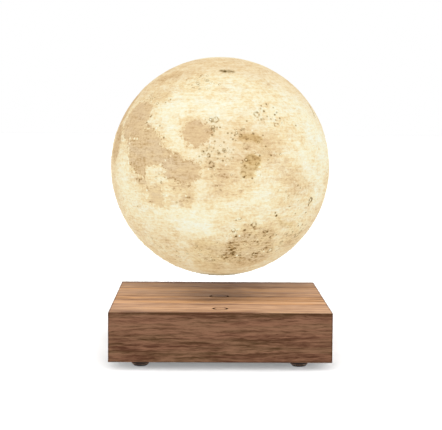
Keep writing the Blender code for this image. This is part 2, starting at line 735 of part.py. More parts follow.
def make_transmit_coil():
    """The tray over the magnets and the flat coil that it centres under the top skin."""
    lip_radius = transmit_coil_hole_radius - FIT_GAP
    lip_hole_radius = lip_radius - TRAY_LIP
    lip_top = tray_top + TRANSMIT_COIL_THICKNESS / 2
    hole_radius = TRAY_HOLE_DIAMETER / 2
    profile = [(ring_radius, tray_top), (ring_radius, tray_bottom), (hole_radius, tray_bottom),
               (hole_radius, tray_top), (lip_hole_radius, tray_top), (lip_hole_radius, lip_top),
               (lip_radius, lip_top), (lip_radius, tray_top)]
    place("coil_tray", turned_mesh("coil_tray", profile, RING_SEGMENTS, closed=True),
          "white_plastic", base)
    place("transmit_coil", ring_mesh("transmit_coil", transmit_coil_hole_radius,
                                     transmit_coil_radius, TRANSMIT_COIL_THICKNESS,
                                     RING_SEGMENTS), "copper", base,
          (0, 0, transmit_coil_bottom))


def make_touch_pad():
    """The copper electrode under the touch ring."""
    mesh = rods_mesh("touch_pad", [rod((0, 0, 0), TOUCH_PAD_DIAMETER / 2, TOUCH_PAD_THICKNESS)],
                     COIL_SEGMENTS)
    smooth(mesh)
    place("touch_pad", mesh, "copper", base,
          (0, -touch_place, ceiling - SEAT_GAP - TOUCH_PAD_THICKNESS))


def arc(radius, start_radius, end_radius, steps):
    """Points on a globe surface between two distances from the axis, below its middle."""
    start = math.asin(start_radius / radius)
    end = math.asin(end_radius / radius)
    angles = [start + (end - start) * step / steps for step in range(steps + 1)]
    return [(radius * math.sin(angle), moon_radius - radius * math.cos(angle))
            for angle in angles]


def make_moon_shell():
    """The thin globe, open at the bottom."""
    def whole_arc(radius):
        last = math.pi - math.asin(opening_radius / radius)
        angles = [last * step / GLOBE_ARC_STEPS for step in range(GLOBE_ARC_STEPS + 1)]
        return [(radius * math.sin(angle), moon_radius + radius * math.cos(angle))
                for angle in angles]

    profile = whole_arc(moon_radius) + list(reversed(whole_arc(moon_inner_radius)))
    place("moon_shell", turned_mesh("moon_shell", profile, GLOBE_SEGMENTS), "moon_print", spin_axis)


def make_bottom_cap():
    """The cap that completes the globe, with the spigot and the lip that snap into the shell."""
    profile = [(0, cap_floor)]
    profile += arc(moon_inner_radius, cap_floor_radius, spigot_hole_radius, CAP_ARC_STEPS)
    profile += [(spigot_hole_radius, snap_top), (snap_radius, snap_top),
                (snap_radius, snap_bottom), (spigot_radius, snap_bottom)]
    profile += arc(moon_inner_radius, spigot_radius, cap_radius, 1)
    profile += arc(moon_radius, cap_radius, 0, CAP_ARC_STEPS)
    place("bottom_cap", turned_mesh("bottom_cap", profile, GLOBE_SEGMENTS), "cap_print", spin_axis)


def make_levitation_magnet():
    """The neodymium disc that the base holds up."""
    disc = rods_mesh("levitation_magnet", [rod((0, 0, 0), magnet_radius, MAGNET_HEIGHT)],
                     RING_SEGMENTS)
    disc = beveled_mesh(disc, "levitation_magnet", MAGNET_EDGE)
    smooth(disc)
    place("levitation_magnet", disc, "nickel", lift_axis, (0, 0, LEVITATION_GAP + magnet_bottom))


def make_coil_carrier():
    """The moulded cup over the magnet, with the flange that seats the receiver coil."""
    profile = [(0, carrier_top), (carrier_radius, carrier_top), (carrier_radius, flange_top),
               (flange_radius, flange_top), (flange_radius, flange_bottom),
               (carrier_radius, flange_bottom), (carrier_radius, carrier_bottom),
               (carrier_hole_radius, carrier_bottom), (carrier_hole_radius, carrier_ceiling),
               (0, carrier_ceiling)]
    carrier = place("coil_carrier", turned_mesh("coil_carrier", profile, RING_SEGMENTS),
                    "white_plastic", spin_axis)
    foot_height = carrier_top - DRIVER_SCREW_GRIP - SEAT_GAP
    pilots = [rod(spot, DRIVER_SCREW_DIAMETER / 2 + FIT_GAP,
                  DRIVER_SCREW_GRIP + SEAT_GAP + CUT_OVERRUN)
              for spot in driver_screw_places(foot_height)]
    tool = add_cutter("carrier_pilots", rods_mesh("carrier_pilots", pilots, SMALL_SEGMENTS))
    tool.parent = spin_axis
    add_boolean(carrier, tool)

    coil = ring_mesh("receiver_coil", receiver_coil_hole_radius, receiver_coil_radius,
                     RECEIVER_COIL_HEIGHT, RING_SEGMENTS)
    place("receiver_coil", coil, "copper", spin_axis, (0, 0, receiver_coil_bottom))


def driver_screw_places(height):
    """Where the screws of the driver board stand."""
    return [on_circle(driver_screw_radius, index, DRIVER_SCREW_COUNT, height)
            for index in range(DRIVER_SCREW_COUNT)]


def small_screw_mesh(name, under_head):
    """A small pan headed screw whose head stands on height zero, with the shaft below it."""
    radius = DRIVER_SCREW_DIAMETER / 2
    head_radius = DRIVER_SCREW_HEAD_DIAMETER / 2
    profile = [(0, DRIVER_SCREW_HEAD_HEIGHT), (head_radius, DRIVER_SCREW_HEAD_HEIGHT),
               (head_radius, 0), (radius, 0), (radius, -under_head), (0, -under_head)]
    return turned_mesh(name, profile, SMALL_SEGMENTS)


def make_driver_board():
    """The rectifier and driver board of the globe."""
    disc = rods_mesh("driver_board", [rod((0, 0, 0), driver_board_radius,
                                          BOARD_THICKNESS)], RING_SEGMENTS)
    board = place("driver_board", disc, "circuit_board", spin_axis, (0, 0, driver_board_bottom))
    holes = [rod(spot, DRIVER_SCREW_DIAMETER / 2 + FIT_GAP, BOARD_THICKNESS + 2 * CUT_OVERRUN)
             for spot in driver_screw_places(driver_board_bottom - CUT_OVERRUN)]
    tool = add_cutter("driver_holes", rods_mesh("driver_holes", holes, SMALL_SEGMENTS))
    tool.parent = spin_axis
    add_boolean(board, tool)

    mesh = small_screw_mesh("driver_screw",
                            SEAT_GAP + BOARD_THICKNESS + SEAT_GAP + DRIVER_SCREW_GRIP)
    for index, spot in enumerate(driver_screw_places(driver_part_bottom)):
        place(f"driver_screw_{index + 1}", mesh, "zinc_steel", spin_axis, spot)

    quarter = math.pi / 2
    chip = box_mesh("driver_chip", (DRIVER_CHIP_SIDE, DRIVER_CHIP_SIDE, CHIP_HEIGHT))
    place("driver_chip", chip, "chip", spin_axis,
          on_circle(driver_part_radius, 0, 1, driver_part_bottom, quarter))
    inductor = box_mesh("driver_inductor", (INDUCTOR_SIDE, INDUCTOR_SIDE, INDUCTOR_HEIGHT))
    place("driver_inductor", inductor, "ferrite", spin_axis,
          on_circle(driver_part_radius, 0, 1, driver_part_bottom, -quarter))
    capacitor = rods_mesh("driver_capacitor", [rod((0, 0, 0), DRIVER_CAPACITOR_DIAMETER / 2,
                                                   DRIVER_CAPACITOR_HEIGHT)], SMALL_SEGMENTS)
    smooth(capacitor)
    place("driver_capacitor", capacitor, "aluminium", spin_axis,
          on_circle(driver_part_radius, 0, 1, driver_part_bottom, quarter / 2))


def make_light_source():
    """The post, the round board and the LEDs that look up into the globe."""
    post = rods_mesh("led_post", [rod((0, 0, 0), LED_POST_DIAMETER / 2, LED_POST_HEIGHT)],
                     COIL_SEGMENTS)
    smooth(post)
    post_piece = place("led_post", post, "aluminium", spin_axis, (0, 0, driver_part_bottom))
    pilot_radius = DRIVER_SCREW_DIAMETER / 2 + FIT_GAP
    pilot = rods_mesh("post_pilot", [rod((0, 0, 0), pilot_radius,
                                         LED_SCREW_GRIP + SEAT_GAP + CUT_OVERRUN)],
                      SMALL_SEGMENTS)
    tool = add_cutter("post_pilot", pilot, (0, 0, led_post_top - LED_SCREW_GRIP - SEAT_GAP))
    tool.parent = spin_axis
    add_boolean(post_piece, tool)

    board = ring_mesh("led_board", pilot_radius, led_board_radius, LED_BOARD_THICKNESS,
                      RING_SEGMENTS)
    place("led_board", board, "white_board", spin_axis, (0, 0, led_board_bottom))

    screw = small_screw_mesh("led_screw",
                             SEAT_GAP + LED_BOARD_THICKNESS + SEAT_GAP + LED_SCREW_GRIP)
    place("led_screw", screw, "zinc_steel", spin_axis, (0, 0, led_bottom))

    led = beveled_mesh(box_mesh("led", (LED_SIDE, LED_SIDE, LED_HEIGHT)), "led", LED_BEVEL)
    for index in range(LED_COUNT):
        spot = on_circle(led_circle_radius, index, LED_COUNT, led_bottom)
        place(f"led_{index + 1}", led, "phosphor", spin_axis, spot,
              math.tau * index / LED_COUNT)


clear_scene()
lamp = new_collection("moon_lamp")
cutters = new_collection("cutters")
base = new_empty("base_origin", 0.0)
lift_axis = new_empty("moon_lift_axis", case_top, base)
spin_axis = new_empty("moon_spin_axis", LEVITATION_GAP, lift_axis)

make_wooden_case()
make_bottom_plate()
make_feet()
make_case_screws()
make_module_screws()
make_control_board()
make_dc_jack()
make_module_frame()
make_magnets()
make_electromagnets()
make_hall_board()
make_transmit_coil()
make_touch_pad()
make_moon_shell()
make_bottom_cap()
make_levitation_magnet()
make_coil_carrier()
make_driver_board()
make_light_source()
bpy.context.view_layer.update()
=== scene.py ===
"""Looks of the levitating moon lamp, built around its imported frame.

Metres, +Z up, the front of the base faces -Y. The globe is printed with a relief of the Moon,
so its marks are given by latitude and longitude, counted from the point that faces the front.
"""

import itertools
import math

import bmesh
import bpy
import numpy as np
from mathutils import Matrix, Vector


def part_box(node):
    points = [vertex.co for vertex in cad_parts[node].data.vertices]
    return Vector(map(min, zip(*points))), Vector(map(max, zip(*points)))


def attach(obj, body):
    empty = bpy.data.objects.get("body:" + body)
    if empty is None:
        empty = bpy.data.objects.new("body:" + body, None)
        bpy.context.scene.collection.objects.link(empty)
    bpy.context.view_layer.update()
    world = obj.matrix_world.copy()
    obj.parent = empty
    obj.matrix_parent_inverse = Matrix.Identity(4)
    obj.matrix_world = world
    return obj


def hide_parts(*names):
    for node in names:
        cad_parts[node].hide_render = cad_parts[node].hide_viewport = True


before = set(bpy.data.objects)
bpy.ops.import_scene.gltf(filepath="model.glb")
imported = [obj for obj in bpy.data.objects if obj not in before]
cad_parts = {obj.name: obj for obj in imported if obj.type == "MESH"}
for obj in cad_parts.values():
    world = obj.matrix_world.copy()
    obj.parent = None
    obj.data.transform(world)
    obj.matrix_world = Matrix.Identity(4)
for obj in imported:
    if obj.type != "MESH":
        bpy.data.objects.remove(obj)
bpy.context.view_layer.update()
scene = bpy.context.scene
MM = 0.001

# Camera, fitted to the photograph's six visible corners of the base
CAMERA_PLACE = (-0.0116, -0.8113, 0.1576)
CAMERA_YAW = 0.0153
CAMERA_PITCH = 0.0855
CAMERA_ROLL = 0.0074
CAMERA_LENS = 102.93

# Light
BACKDROP_STRENGTH = 1.0
SKY_STRENGTH = 0.75
KEY_POWER = 4.0
KEY_SPREAD = 66
KEY_TILT = 46
FLOOR_HALF = 6.0
FLOOR_GLOW = 0.22
FLOOR_DEPTH = 0.045

# Globe, with lengths in mm and the width of the fade at an edge in degrees
GLOBE_SEGMENTS = 448
SHELL_RINGS = 190
INNER_RINGS = 18
CAP_RINGS = 34
SHELL_WALL = 1.6
OPENING = 30.0
CAP_RADIUS = 29.7
LAYER_PITCH = 0.45
RELIEF_DEPTH = 0.30
RELIEF_FADE = 1.6
GLOW = 0.77
CAP_SHADE = 0.35
UNLIT = (0.14, 0.133, 0.126)

# Base, with lengths in mm: the rings by outer radius, the touch ring's depth from the front
CASE_ROUNDING = 0.3
GROOVE_WIDTH = 1.2
GROOVE_DEPTH = 0.6
CENTRE_RING = 6.4
TOUCH_RING = 4.75
TOUCH_DEPTH = 16.5
BEAD = 0.24
BEAD_HEIGHT = 1.35
ROUND_SEGMENTS = 64
# How far a roughness goes up and down in its grain
GLOSS_STEP = 0.06


def linear(*colour):
    """A screen colour of 0 to 255 as linear light, opaque."""
    shares = [part / 255 for part in colour]
    return (*(share / 12.92 if share <= 0.04045 else ((share + 0.055) / 1.055) ** 2.4
              for share in shares), 1.0)


class Value:
    """What a node gives out. A sum with it makes another node."""

    def __init__(self, nodes, socket):
        self.nodes = nodes
        self.socket = socket

    def __add__(self, other):
        return self.nodes.math("ADD", self, other)

    def __sub__(self, other):
        return self.nodes.math("SUBTRACT", self, other)

    def __mul__(self, other):
        return self.nodes.math("MULTIPLY", self, other)

    def __truediv__(self, other):
        return self.nodes.math("DIVIDE", self, other)

    def __pow__(self, other):
        return self.nodes.math("POWER", self, other)

    def __abs__(self):
        return self.nodes.math("ABSOLUTE", self)

    def spread(self, low, high, to_low=0.0, to_high=1.0, kind="SMOOTHSTEP"):
        """This value taken from one range to another with soft ends, and kept in it."""
        ranges = {0: self, 1: low, 2: high, 3: to_low, 4: to_high}
        return self.nodes.value("ShaderNodeMapRange", ranges, interpolation_type=kind)

    def straight(self, low, high, to_low, to_high):
        """The same without the soft ends."""
        return self.spread(low, high, to_low, to_high, "LINEAR")


class Nodes:
    """The node tree of one Principled material."""

    def __init__(self, name):
        self.material = bpy.data.materials.new(name)
        self.material.use_nodes = True
        self.tree = self.material.node_tree
        self.shader = self.tree.nodes["Principled BSDF"]
        self.place = self.value("ShaderNodeTexCoord", output="Object")

    def feed(self, node, inputs):
        """Links an input where its value comes from a node, and otherwise sets it."""
        for key, value in inputs.items():
            if isinstance(value, Value):
                self.tree.links.new(value.socket, node.inputs[key])
            else:
                node.inputs[key].default_value = value

    def values(self, kind, inputs, outputs, **settings):
        """What some outputs of a new node give."""
        node = self.tree.nodes.new(kind)
        for key, value in settings.items():
            setattr(node, key, value)
        self.feed(node, inputs)
        return [Value(self, node.outputs[output]) for output in outputs]

    def value(self, kind, inputs=None, output=0, **settings):
        """What one output of a new node gives."""
        return self.values(kind, inputs or {}, [output], **settings)[0]

    def math(self, operation, first, second=0.0, clamp=False):
        """One sum."""
        return self.value("ShaderNodeMath", {0: first, 1: second}, operation=operation,
                          use_clamp=clamp)

    def split(self, vector):
        """The three parts of a vector."""
        return self.values("ShaderNodeSeparateXYZ", {0: vector}, [0, 1, 2])

    def join(self, x, y, z):
        """A vector from its three parts."""
        return self.value("ShaderNodeCombineXYZ", {0: x, 1: y, 2: z})

    def scaled(self, vector, x, y, z):
        """A vector with each part multiplied."""
        return self.value("ShaderNodeVectorMath", {0: vector, 1: (x, y, z)}, operation="MULTIPLY")

    def noise(self, scale, detail=4.0, roughness=0.55, place=None):
        """Soft noise around a half. Three scales stretch it."""
        place = place or self.place
        if isinstance(scale, tuple):
            place = self.scaled(place, *scale)
            scale = 1.0
        return self.value("ShaderNodeTexNoise", {"Vector": place, "Scale": scale, "Detail": detail,
                                                 "Roughness": roughness}, "Fac")

    def mix(self, share, first, second):
        """A colour between two."""
        return self.value("ShaderNodeMix", {0: share, 6: first, 7: second}, 2, data_type="RGBA")

    def shades(self, tone, hue, light, dark):
        """A colour from light to dark, where each of them is a pair of screen colours by hue."""
        ends = [self.mix(hue, linear(*first), linear(*second)) for first, second in (light, dark)]
        return self.mix(tone, *ends)

    def ramp(self, value, stops, kind="LINEAR"):
        """A ramp of grey tones or colours over a value."""
        ramped = self.value("ShaderNodeValToRGB", {0: value}, "Color")
        ramp = ramped.socket.node.color_ramp
        ramp.interpolation = kind
        while len(ramp.elements) < len(stops):
            ramp.elements.new(0.5)
        for element, (position, colour) in zip(ramp.elements, stops):
            element.position = position
            element.color = (colour,) * 3 + (1.0,) if isinstance(colour, float) else colour
        return ramped

    def bump(self, height, depth, strength):
        """Fine relief on the shader's normal, with its depth in mm."""
        self.feed(self.shader, {"Normal": self.value("ShaderNodeBump", {
            "Height": height, "Distance": depth * MM, "Strength": strength})})

    def finish(self, colour, roughness, metallic=0.0, specular=0.5, **more):
        """Sets the shader's inputs. An underscore in a name stands for a space."""
        self.feed(self.shader, {"Base Color": colour, "Roughness": roughness, "Metallic": metallic,
                                "Specular IOR Level": specular})
        self.feed(self.shader, {key.replace("_", " "): value for key, value in more.items()})
        return self.material


def diagonal(first, second):
    """The length of two parts at a right angle."""
    return (first ** 2.0 + second ** 2.0) ** 0.5


def ellipse(x, y, middle, half):
    """How far a point is from a middle, squared, where 1 is on the ellipse's edge."""
    return ((x - middle[0]) / half[0]) ** 2.0 + ((y - middle[1]) / half[1]) ** 2.0


# Wood, from 0, light, to 1, dark: its tones over the top from front to back
TOP_TONES = [
    (0.0, 0.46), (0.03, 0.44), (0.06, 0.42), (0.1, 0.24), (0.16, 0.26), (0.2, 0.36), (0.236, 0.5),
    (0.25, 0.44), (0.264, 0.0), (0.3, 0.06), (0.33, 0.28), (0.36, 0.3), (0.386, 0.64), (0.41, 0.5),
    (0.448, 0.2), (0.475, 0.5), (0.5, 0.52), (0.53, 0.32), (0.56, 0.27), (0.6, 0.38), (0.64, 0.24),
    (0.68, 0.0), (0.72, 0.08), (0.76, 0.1), (0.8, 0.42), (0.84, 0.48), (0.87, 0.26), (0.9, 0.28),
    (0.95, 0.72), (1.0, 0.78)
]
# Hues over the top in the same way, from 0, pinkish, to 1, ochre
TOP_HUES = [
    (0.0, 0.05), (0.18, 0.12), (0.27, 0.35), (0.34, 0.75), (0.43, 0.65), (0.48, 0.45),
    (0.56, 0.35), (0.66, 0.4), (0.76, 0.55), (0.84, 0.35), (0.92, 0.2), (1.0, 0.15)
]
# Tones over the front from below; the dark stops at the top are painted shade along the top edge
FRONT_TONES = [
    (0.0, 0.8), (0.03, 0.45), (0.11, 0.38), (0.17, 0.55), (0.25, 0.26), (0.35, 0.52), (0.42, 0.42),
    (0.52, 0.3), (0.62, 0.12), (0.72, 0.06), (0.84, 0.24), (0.92, 0.34), (0.965, 0.8), (1.0, 1.0)
]
# Dark streaks on the front: middle across and up in mm, half length, half width, slope, darkness
FRONT_STREAKS = [
    (-61, 8.8, 6.5, 1, 0, 1), (-41, 9.6, 6, 0.9, -0.02, 0.5), (-25, 9.4, 8, 0.8, 0, 0.65),
    (34, 14.2, 36, 0.8, 0.03, 0.75), (15, 5.2, 16, 0.6, 0.04, 0.65), (-20, 2.6, 9, 0.7, 0.02, 0.6),
    (-14, 27.6, 16, 0.7, -0.01, 0.45), (46, 18.6, 19, 0.6, 0.02, 0.5),
    (-48, 6.3, 12, 0.5, -0.02, 0.4), (30, 8.2, 16, 0.5, 0.01, 0.35)
]


def walnut(name, engraved=False):
    """Oiled walnut: bands on the top, wavy streaks on the sides, rings on the ends. In mm."""
    wood = Nodes(name)
    low, high = (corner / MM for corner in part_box("wooden_case"))
    x, y, z = wood.split(wood.scaled(wood.place, 1 / MM, 1 / MM, 1 / MM))
    depth = y - low.y
    sway = wood.noise((22, 22, 160), 3.0) - 0.5
    ripple = wood.noise((120, 120, 260), 2.0) - 0.5
    swayed = z - low.z + sway * 2.6 + ripple * 1.5
    side_place = wood.scaled(wood.join(x, y, swayed), MM, MM, MM)

    # The top
    lean = wood.noise((12, 40, 0), 2.0) - 0.5
    share = (depth + lean * 8.0) / (high.y - low.y)
    top_grain = wood.noise((11, 620, 0), 5.0, 0.62)
    tone = wood.ramp(share, TOP_TONES) + top_grain.straight(0.36, 0.66, -0.26, 0.32)
    tone += wood.noise((7, 190, 0), 3.0, 0.6).straight(0.34, 0.66, -0.24, 0.24)
    tone += wood.noise((40, 300, 0), 2.0, 0.5).straight(0.36, 0.64, -0.18, 0.18)
    tone += wood.noise((85, 430, 0), 2.0, 0.5).straight(0.36, 0.64, -0.16, 0.16)
    tone += wood.noise((70, 1900, 0), 2.0, 0.5).spread(0.60, 0.74, 0.0, 0.14)
    # Painted shadow of the globe: the top darker in soft patches under the globe and behind it
    tone += ellipse(x, y, (8, 52), (46, 30)).spread(1.2, 0.0, 0.0, 0.26)
    tone += ellipse(x, y, (0, 6), (26, 46)).spread(1.3, 0.1, 0.0, 0.22)
    tone += diagonal(x, y).spread(6.2, 5.2, 0.0, 0.22)
    # Painted edge shade: the top darker along its left and right edges and along its front edge
    tone += abs(x).spread(high.x - 1.2, high.x - 0.5, 0.0, 0.45)
    tone += depth.spread(4.0, 2.6) * abs(x + 20).spread(62, 24)
    hue = wood.noise((9, 120, 0), 2.0) - 0.25 + wood.ramp(share, TOP_HUES) * 0.5
    top_colour = wood.shades(tone, hue.spread(0.38, 0.62), ((184, 146, 114), (195, 147, 101)),
                             ((108, 76, 56), (104, 72, 42)))

    # The front and the back
    front_grain = wood.noise((95, 95, 1250), 4.0, 0.66, side_place)
    tone = wood.ramp(swayed / (high.z - low.z), FRONT_TONES, "B_SPLINE")
    tone += front_grain.straight(0.36, 0.64, -0.44, 0.50)
    tone += wood.noise((30, 30, 520), 3.0, 0.5, side_place).straight(0.36, 0.64, -0.24, 0.30)
    tone += wood.noise((210, 210, 3000), 2.0, 0.5, side_place).spread(0.55, 0.68, 0.0, 0.40)
    # Painted edge shade: the front and back darker close to their left and right edges
    tone += abs(x).spread(high.x - 1.1, high.x - 0.3, 0.0, 0.55)
    front_face = y.spread(0.0, low.y / 2)
    for across, up, half_length, half_width, slope, darkness in FRONT_STREAKS:
        level = swayed - (x - across) * slope
        reach = ellipse(x, level, (across, up), (half_length, half_width))
        tone += reach.spread(1.4, 0.2, 0.0, darkness * 0.80) * front_face
    hue = wood.noise((14, 14, 210), 2.0, place=side_place)
    front_colour = wood.shades(tone, hue.spread(0.36, 0.64), ((104, 76, 57), (105, 74, 56)),
                               ((60, 41, 23), (64, 38, 25)))

    # The ends, cut across the rings
    ring = diagonal(y - 30, z + 110)
    rings = wood.noise(1.0, 3.0, place=wood.join(ring * 0.52, y * 0.018, z * 0.018))
    pores = wood.noise((300, 2600, 2600), 1.0)
    tone = rings.straight(0.32, 0.68, 0.10, 0.75) + pores.spread(0.60, 0.72, 0.0, 0.35)
    end_colour = wood.mix(tone, linear(134, 98, 74), linear(78, 52, 36))

    # One face or another by which way it looks, and the laser-scorched wood beside the touch ring,
    # darker toward the ring's left and right ends as painted shade
    facing = wood.split(wood.value("ShaderNodeNewGeometry", output="True Normal"))
    is_top = facing[2].spread(0.93, 0.99)
    colour = wood.mix(abs(facing[0]).spread(0.60, 0.80), front_colour, end_colour)
    colour = wood.mix(is_top, colour, top_colour)
    off_groove = abs(diagonal(x, depth - TOUCH_DEPTH) - TOUCH_RING + GROOVE_WIDTH / 2)
    scorch_and_end_shade = off_groove.spread(1.3, 0.5, 0.0, 0.75) * abs(x).spread(2.0, 3.2, 0.35)
    colour = wood.mix(scorch_and_end_shade * is_top, colour, linear(70, 40, 18))
    if engraved:
        burn = z.spread(high.z - 0.08, high.z - 0.30, 0.10)
        # The touch ring's front arc darker down its whole wall: painted shade of the groove
        near_arc_shade = depth.spread(13.6, 12.8, 0.0, 0.5)
        colour = wood.mix(wood.math("MAXIMUM", burn, near_arc_shade), top_colour, linear(14, 7, 3))
    wood.bump((front_grain + top_grain) * 0.6, 0.10, 0.5)
    return wood.finish(colour, front_grain.straight(0.3, 0.7, 0.46, 0.60),
                       specular=0.0 if engraved else 0.04)


def plastic(name, colour, roughness, speckle=0.12):
    """Moulded plastic with a fine spark-eroded grain."""
    part = Nodes(name)
    grain = part.noise(2600.0, 3.0)
    cloud = part.noise(90.0, 2.0)
    colour = linear(*colour)
    light = tuple(min(1.0, value * (1 + speckle) + 0.003) for value in colour[:3]) + (1.0,)
    part.bump(grain, 0.03, 0.6)
    return part.finish(part.mix(cloud.spread(0.3, 0.7), colour, light),
                       grain.straight(0.3, 0.7, roughness - GLOSS_STEP, roughness + GLOSS_STEP))


def metal(name, colour, roughness, direction=(900, 900, 60)):
    """Metal with fine drawn or turned marks."""
    part = Nodes(name)
    marks = part.noise(direction, 3.0)
    cloud = part.noise(160.0, 3.0)
    colour = linear(*colour)
    worn = tuple(value * 0.80 for value in colour[:3]) + (1.0,)
    part.bump(marks, 0.01, 0.5)
    return part.finish(part.mix(cloud.spread(0.35, 0.70), colour, worn),
                       marks.straight(0.3, 0.7, roughness - GLOSS_STEP, roughness + GLOSS_STEP),
                       metallic=1.0)


def rubber(name, tint=1.0):
    """Dark rubber with a dull bloom."""
    part = Nodes(name)
    bloom = part.noise(420.0)
    part.bump(part.noise(3200.0, 2.0), 0.04, 0.7)
    return part.finish(part.mix(bloom.spread(0.35, 0.70), linear(38 * tint, 30 * tint, 25 * tint),
                                linear(60 * tint, 49 * tint, 41 * tint)),
                       bloom.straight(0.3, 0.7, 0.55, 0.75), specular=0.35)


def winding(name, flat):
    """Enamelled copper wire, wound upwards on a bobbin or outwards in a flat coil."""
    part = Nodes(name)
    x, y, z = part.split(part.place)
    turn = part.math("FRACT", (diagonal(x, y) if flat else z) / (0.5 * MM))
    arch = part.math("SINE", turn * math.pi)
    part.bump(arch, 0.15, 0.8)
    # Painted shading: each turn lighter along its crown and darker at its sides
    shade = arch * part.noise(240.0, 3.0).spread(0.3, 0.7, 0.75)
    return part.finish(part.mix(shade, linear(92, 40, 18), linear(205, 120, 66)), 0.32,
                       metallic=1.0)


def circuit(name, ground, mask):
    """A circuit board: fibre ground, with tracks and pads under the solder mask."""
    part = Nodes(name)
    cells = part.value("ShaderNodeTexVoronoi", {"Vector": part.scaled(part.place, 330, 330, 0),
                                                "Scale": 1.0, "Randomness": 0.55}, "Distance",
                       distance="CHEBYCHEV")
    tracks = abs(cells - 0.36).spread(0.05, 0.02)
    mask = linear(*mask)
    fibre = part.noise((1400, 300, 0), 2.0).spread(0.3, 0.7, 0.0, 0.5)
    part.bump(tracks, 0.05, 0.6)
    return part.finish(
        part.mix(tracks * 0.6, part.mix(fibre, linear(*ground), mask), mask), 0.36)


def ferrite(name):
    """Sintered ferrite, dark grey and faintly speckled."""
    part = Nodes(name)
    grain = part.noise(1500.0)
    part.bump(grain, 0.05, 0.7)
    return part.finish(part.mix(grain.spread(0.35, 0.72), linear(48, 48, 52), linear(84, 84, 90)),
                       0.55)


def phosphor(name):
    """The yellow face of an LED, lit."""
    part = Nodes(name)
    colour = part.mix(part.noise(1800.0, 3.0).spread(0.3, 0.7), linear(235, 196, 92),
                      linear(250, 222, 140))
    return part.finish(colour, 0.4, Emission_Color=colour, Emission_Strength=1.5)


def print_material(name):
    """Warm white print of the globe, lit from inside. Its broad marks are kept on the mesh."""
    part = Nodes(name)
    (land_tone, olive, warmth_and_limb_shade), (sea_tone, shore, density) = (
        part.split(part.value("ShaderNodeAttribute", output="Vector", attribute_name=key))
        for key in ("marks", "seas"))
    mottle = part.noise(620.0, 4.0, 0.62)
    layers = part.noise((110, 110, 820), 3.0, 0.6)
    crumble = part.noise(340.0, 5.0, 0.75)
    fine = mottle.straight(0.34, 0.66, -0.14, 0.14) + layers.straight(0.34, 0.66, -0.13, 0.13)
    fine += part.noise((480, 480, 1500), 3.0, 0.6).straight(0.32, 0.68, -0.13, 0.13)

    # Seas inside their crumbly shores
    edge = shore - 5.5 + crumble * 11.0
    calm = sea_tone + fine * 0.50
    rough = land_tone + fine * (olive * -0.45 + 1.0)
    tone = rough + edge.spread(0.6, -0.6) * (calm - rough)
    tone += abs(edge).spread(0.9, 0.2, 0.0, mottle.spread(0.42, 0.58, 0.0, 0.16))

    # Small rings where they are dense, in cells of a few sizes
    pits = 0.0
    for scale, strength in ((240.0, 1.0), (340.0, 0.9), (460.0, 0.8)):
        distance, tints = part.values("ShaderNodeTexVoronoi", {
            "Vector": part.place, "Scale": scale}, ["Distance", "Color"])
        size, dark, chance = part.split(tints)
        share = distance / (size * 0.18 + 0.20) - 0.45 + mottle * 0.9
        rim = abs(share - 0.8).spread(0.40, 0.0, 0.0, 0.50)
        bowl = share.spread(0.7, 0.1, 0.0, -0.22)
        there = (density - chance).spread(0.0, 0.08, 0.0, strength)
        pits = (rim * dark + bowl) * there + pits

    # Marks that can be told apart
    low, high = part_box("moon_shell")
    radius = (high.x - low.x) / 2
    for size, rim, core, places in MARKS:
        nearest = 1.0
        for lat, lon in places:
            point = Vector((0, 0, high.z - radius)) + radius * Vector(directions(lat, lon))
            away = part.value("ShaderNodeVectorMath", {0: part.place, 1: point}, "Value",
                              operation="DISTANCE")
            nearest = part.math("MINIMUM", nearest, away)
        share = nearest / (radius * math.radians(size)) - 0.45 + crumble * 0.9
        if rim:
            worn = mottle.spread(0.40, 0.60, 0.35 * rim, 1.25 * rim)
            pits += abs(share - 0.9).spread(0.50, 0.0) * worn
        pits += share.spread(0.60 if rim else 0.95, 0.2, 0.0, core)
    dark = part.math("MAXIMUM", pits, 0.0, clamp=True)
    tone += part.math("MINIMUM", pits, 0.0) + dark * 0.5

    plain, green = (part.ramp(tone, [(row[0], linear(*row[index])) for row in PRINT_COLOURS])
                    for index in (1, 2))
    colour = part.mix(olive, plain, green)
    pale = part.noise((70, 70, 170), 3.0).spread(0.46, 0.62, 0.0, 0.7)
    pale *= dark.spread(0.0, 0.2, 1.0, 0.0)
    colour = part.mix(pale, colour, part.scaled(colour, 0.985, 1.02, 1.12))
    # Warmer tints, and painted shade near the limbs, where the glow turns a darker tan
    tint_and_shade_colour = part.mix(tone, linear(248, 222, 176), linear(196, 158, 110))
    colour = part.mix(warmth_and_limb_shade * 0.85, colour, tint_and_shade_colour)
    colour = part.mix(dark, colour, linear(98, 78, 26))
    z = part.split(part.place)[2]
    ridge = part.math("SINE", z * (math.tau / (LAYER_PITCH * MM)))
    part.bump(ridge * 0.10 + mottle * 1.2 + layers * 0.5 - pits * 1.2, 0.30, 0.6)
    low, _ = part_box("bottom_cap")
    lit = z.spread(low.z + 0.9 * MM, low.z + 4.6 * MM, CAP_SHADE)
    glow = part.value("ShaderNodeVectorMath", {0: colour, "Scale": lit}, operation="SCALE")
    return part.finish(part.scaled(colour, *UNLIT), 0.72, specular=0.10,
                       Emission_Color=glow, Emission_Strength=GLOW)


# The print's colours from light to dark: tone, then the plain and the olive screen colour
PRINT_COLOURS = [
    (0.0, (248, 248, 224), (248, 248, 216)), (0.3, (247, 237, 200), (244, 232, 186)),
    (0.55, (240, 216, 168), (234, 208, 152)), (0.75, (223, 196, 155), (214, 184, 126)),
    (0.9, (190, 156, 106), (184, 150, 92)), (1.0, (122, 92, 50), (112, 84, 40))
]

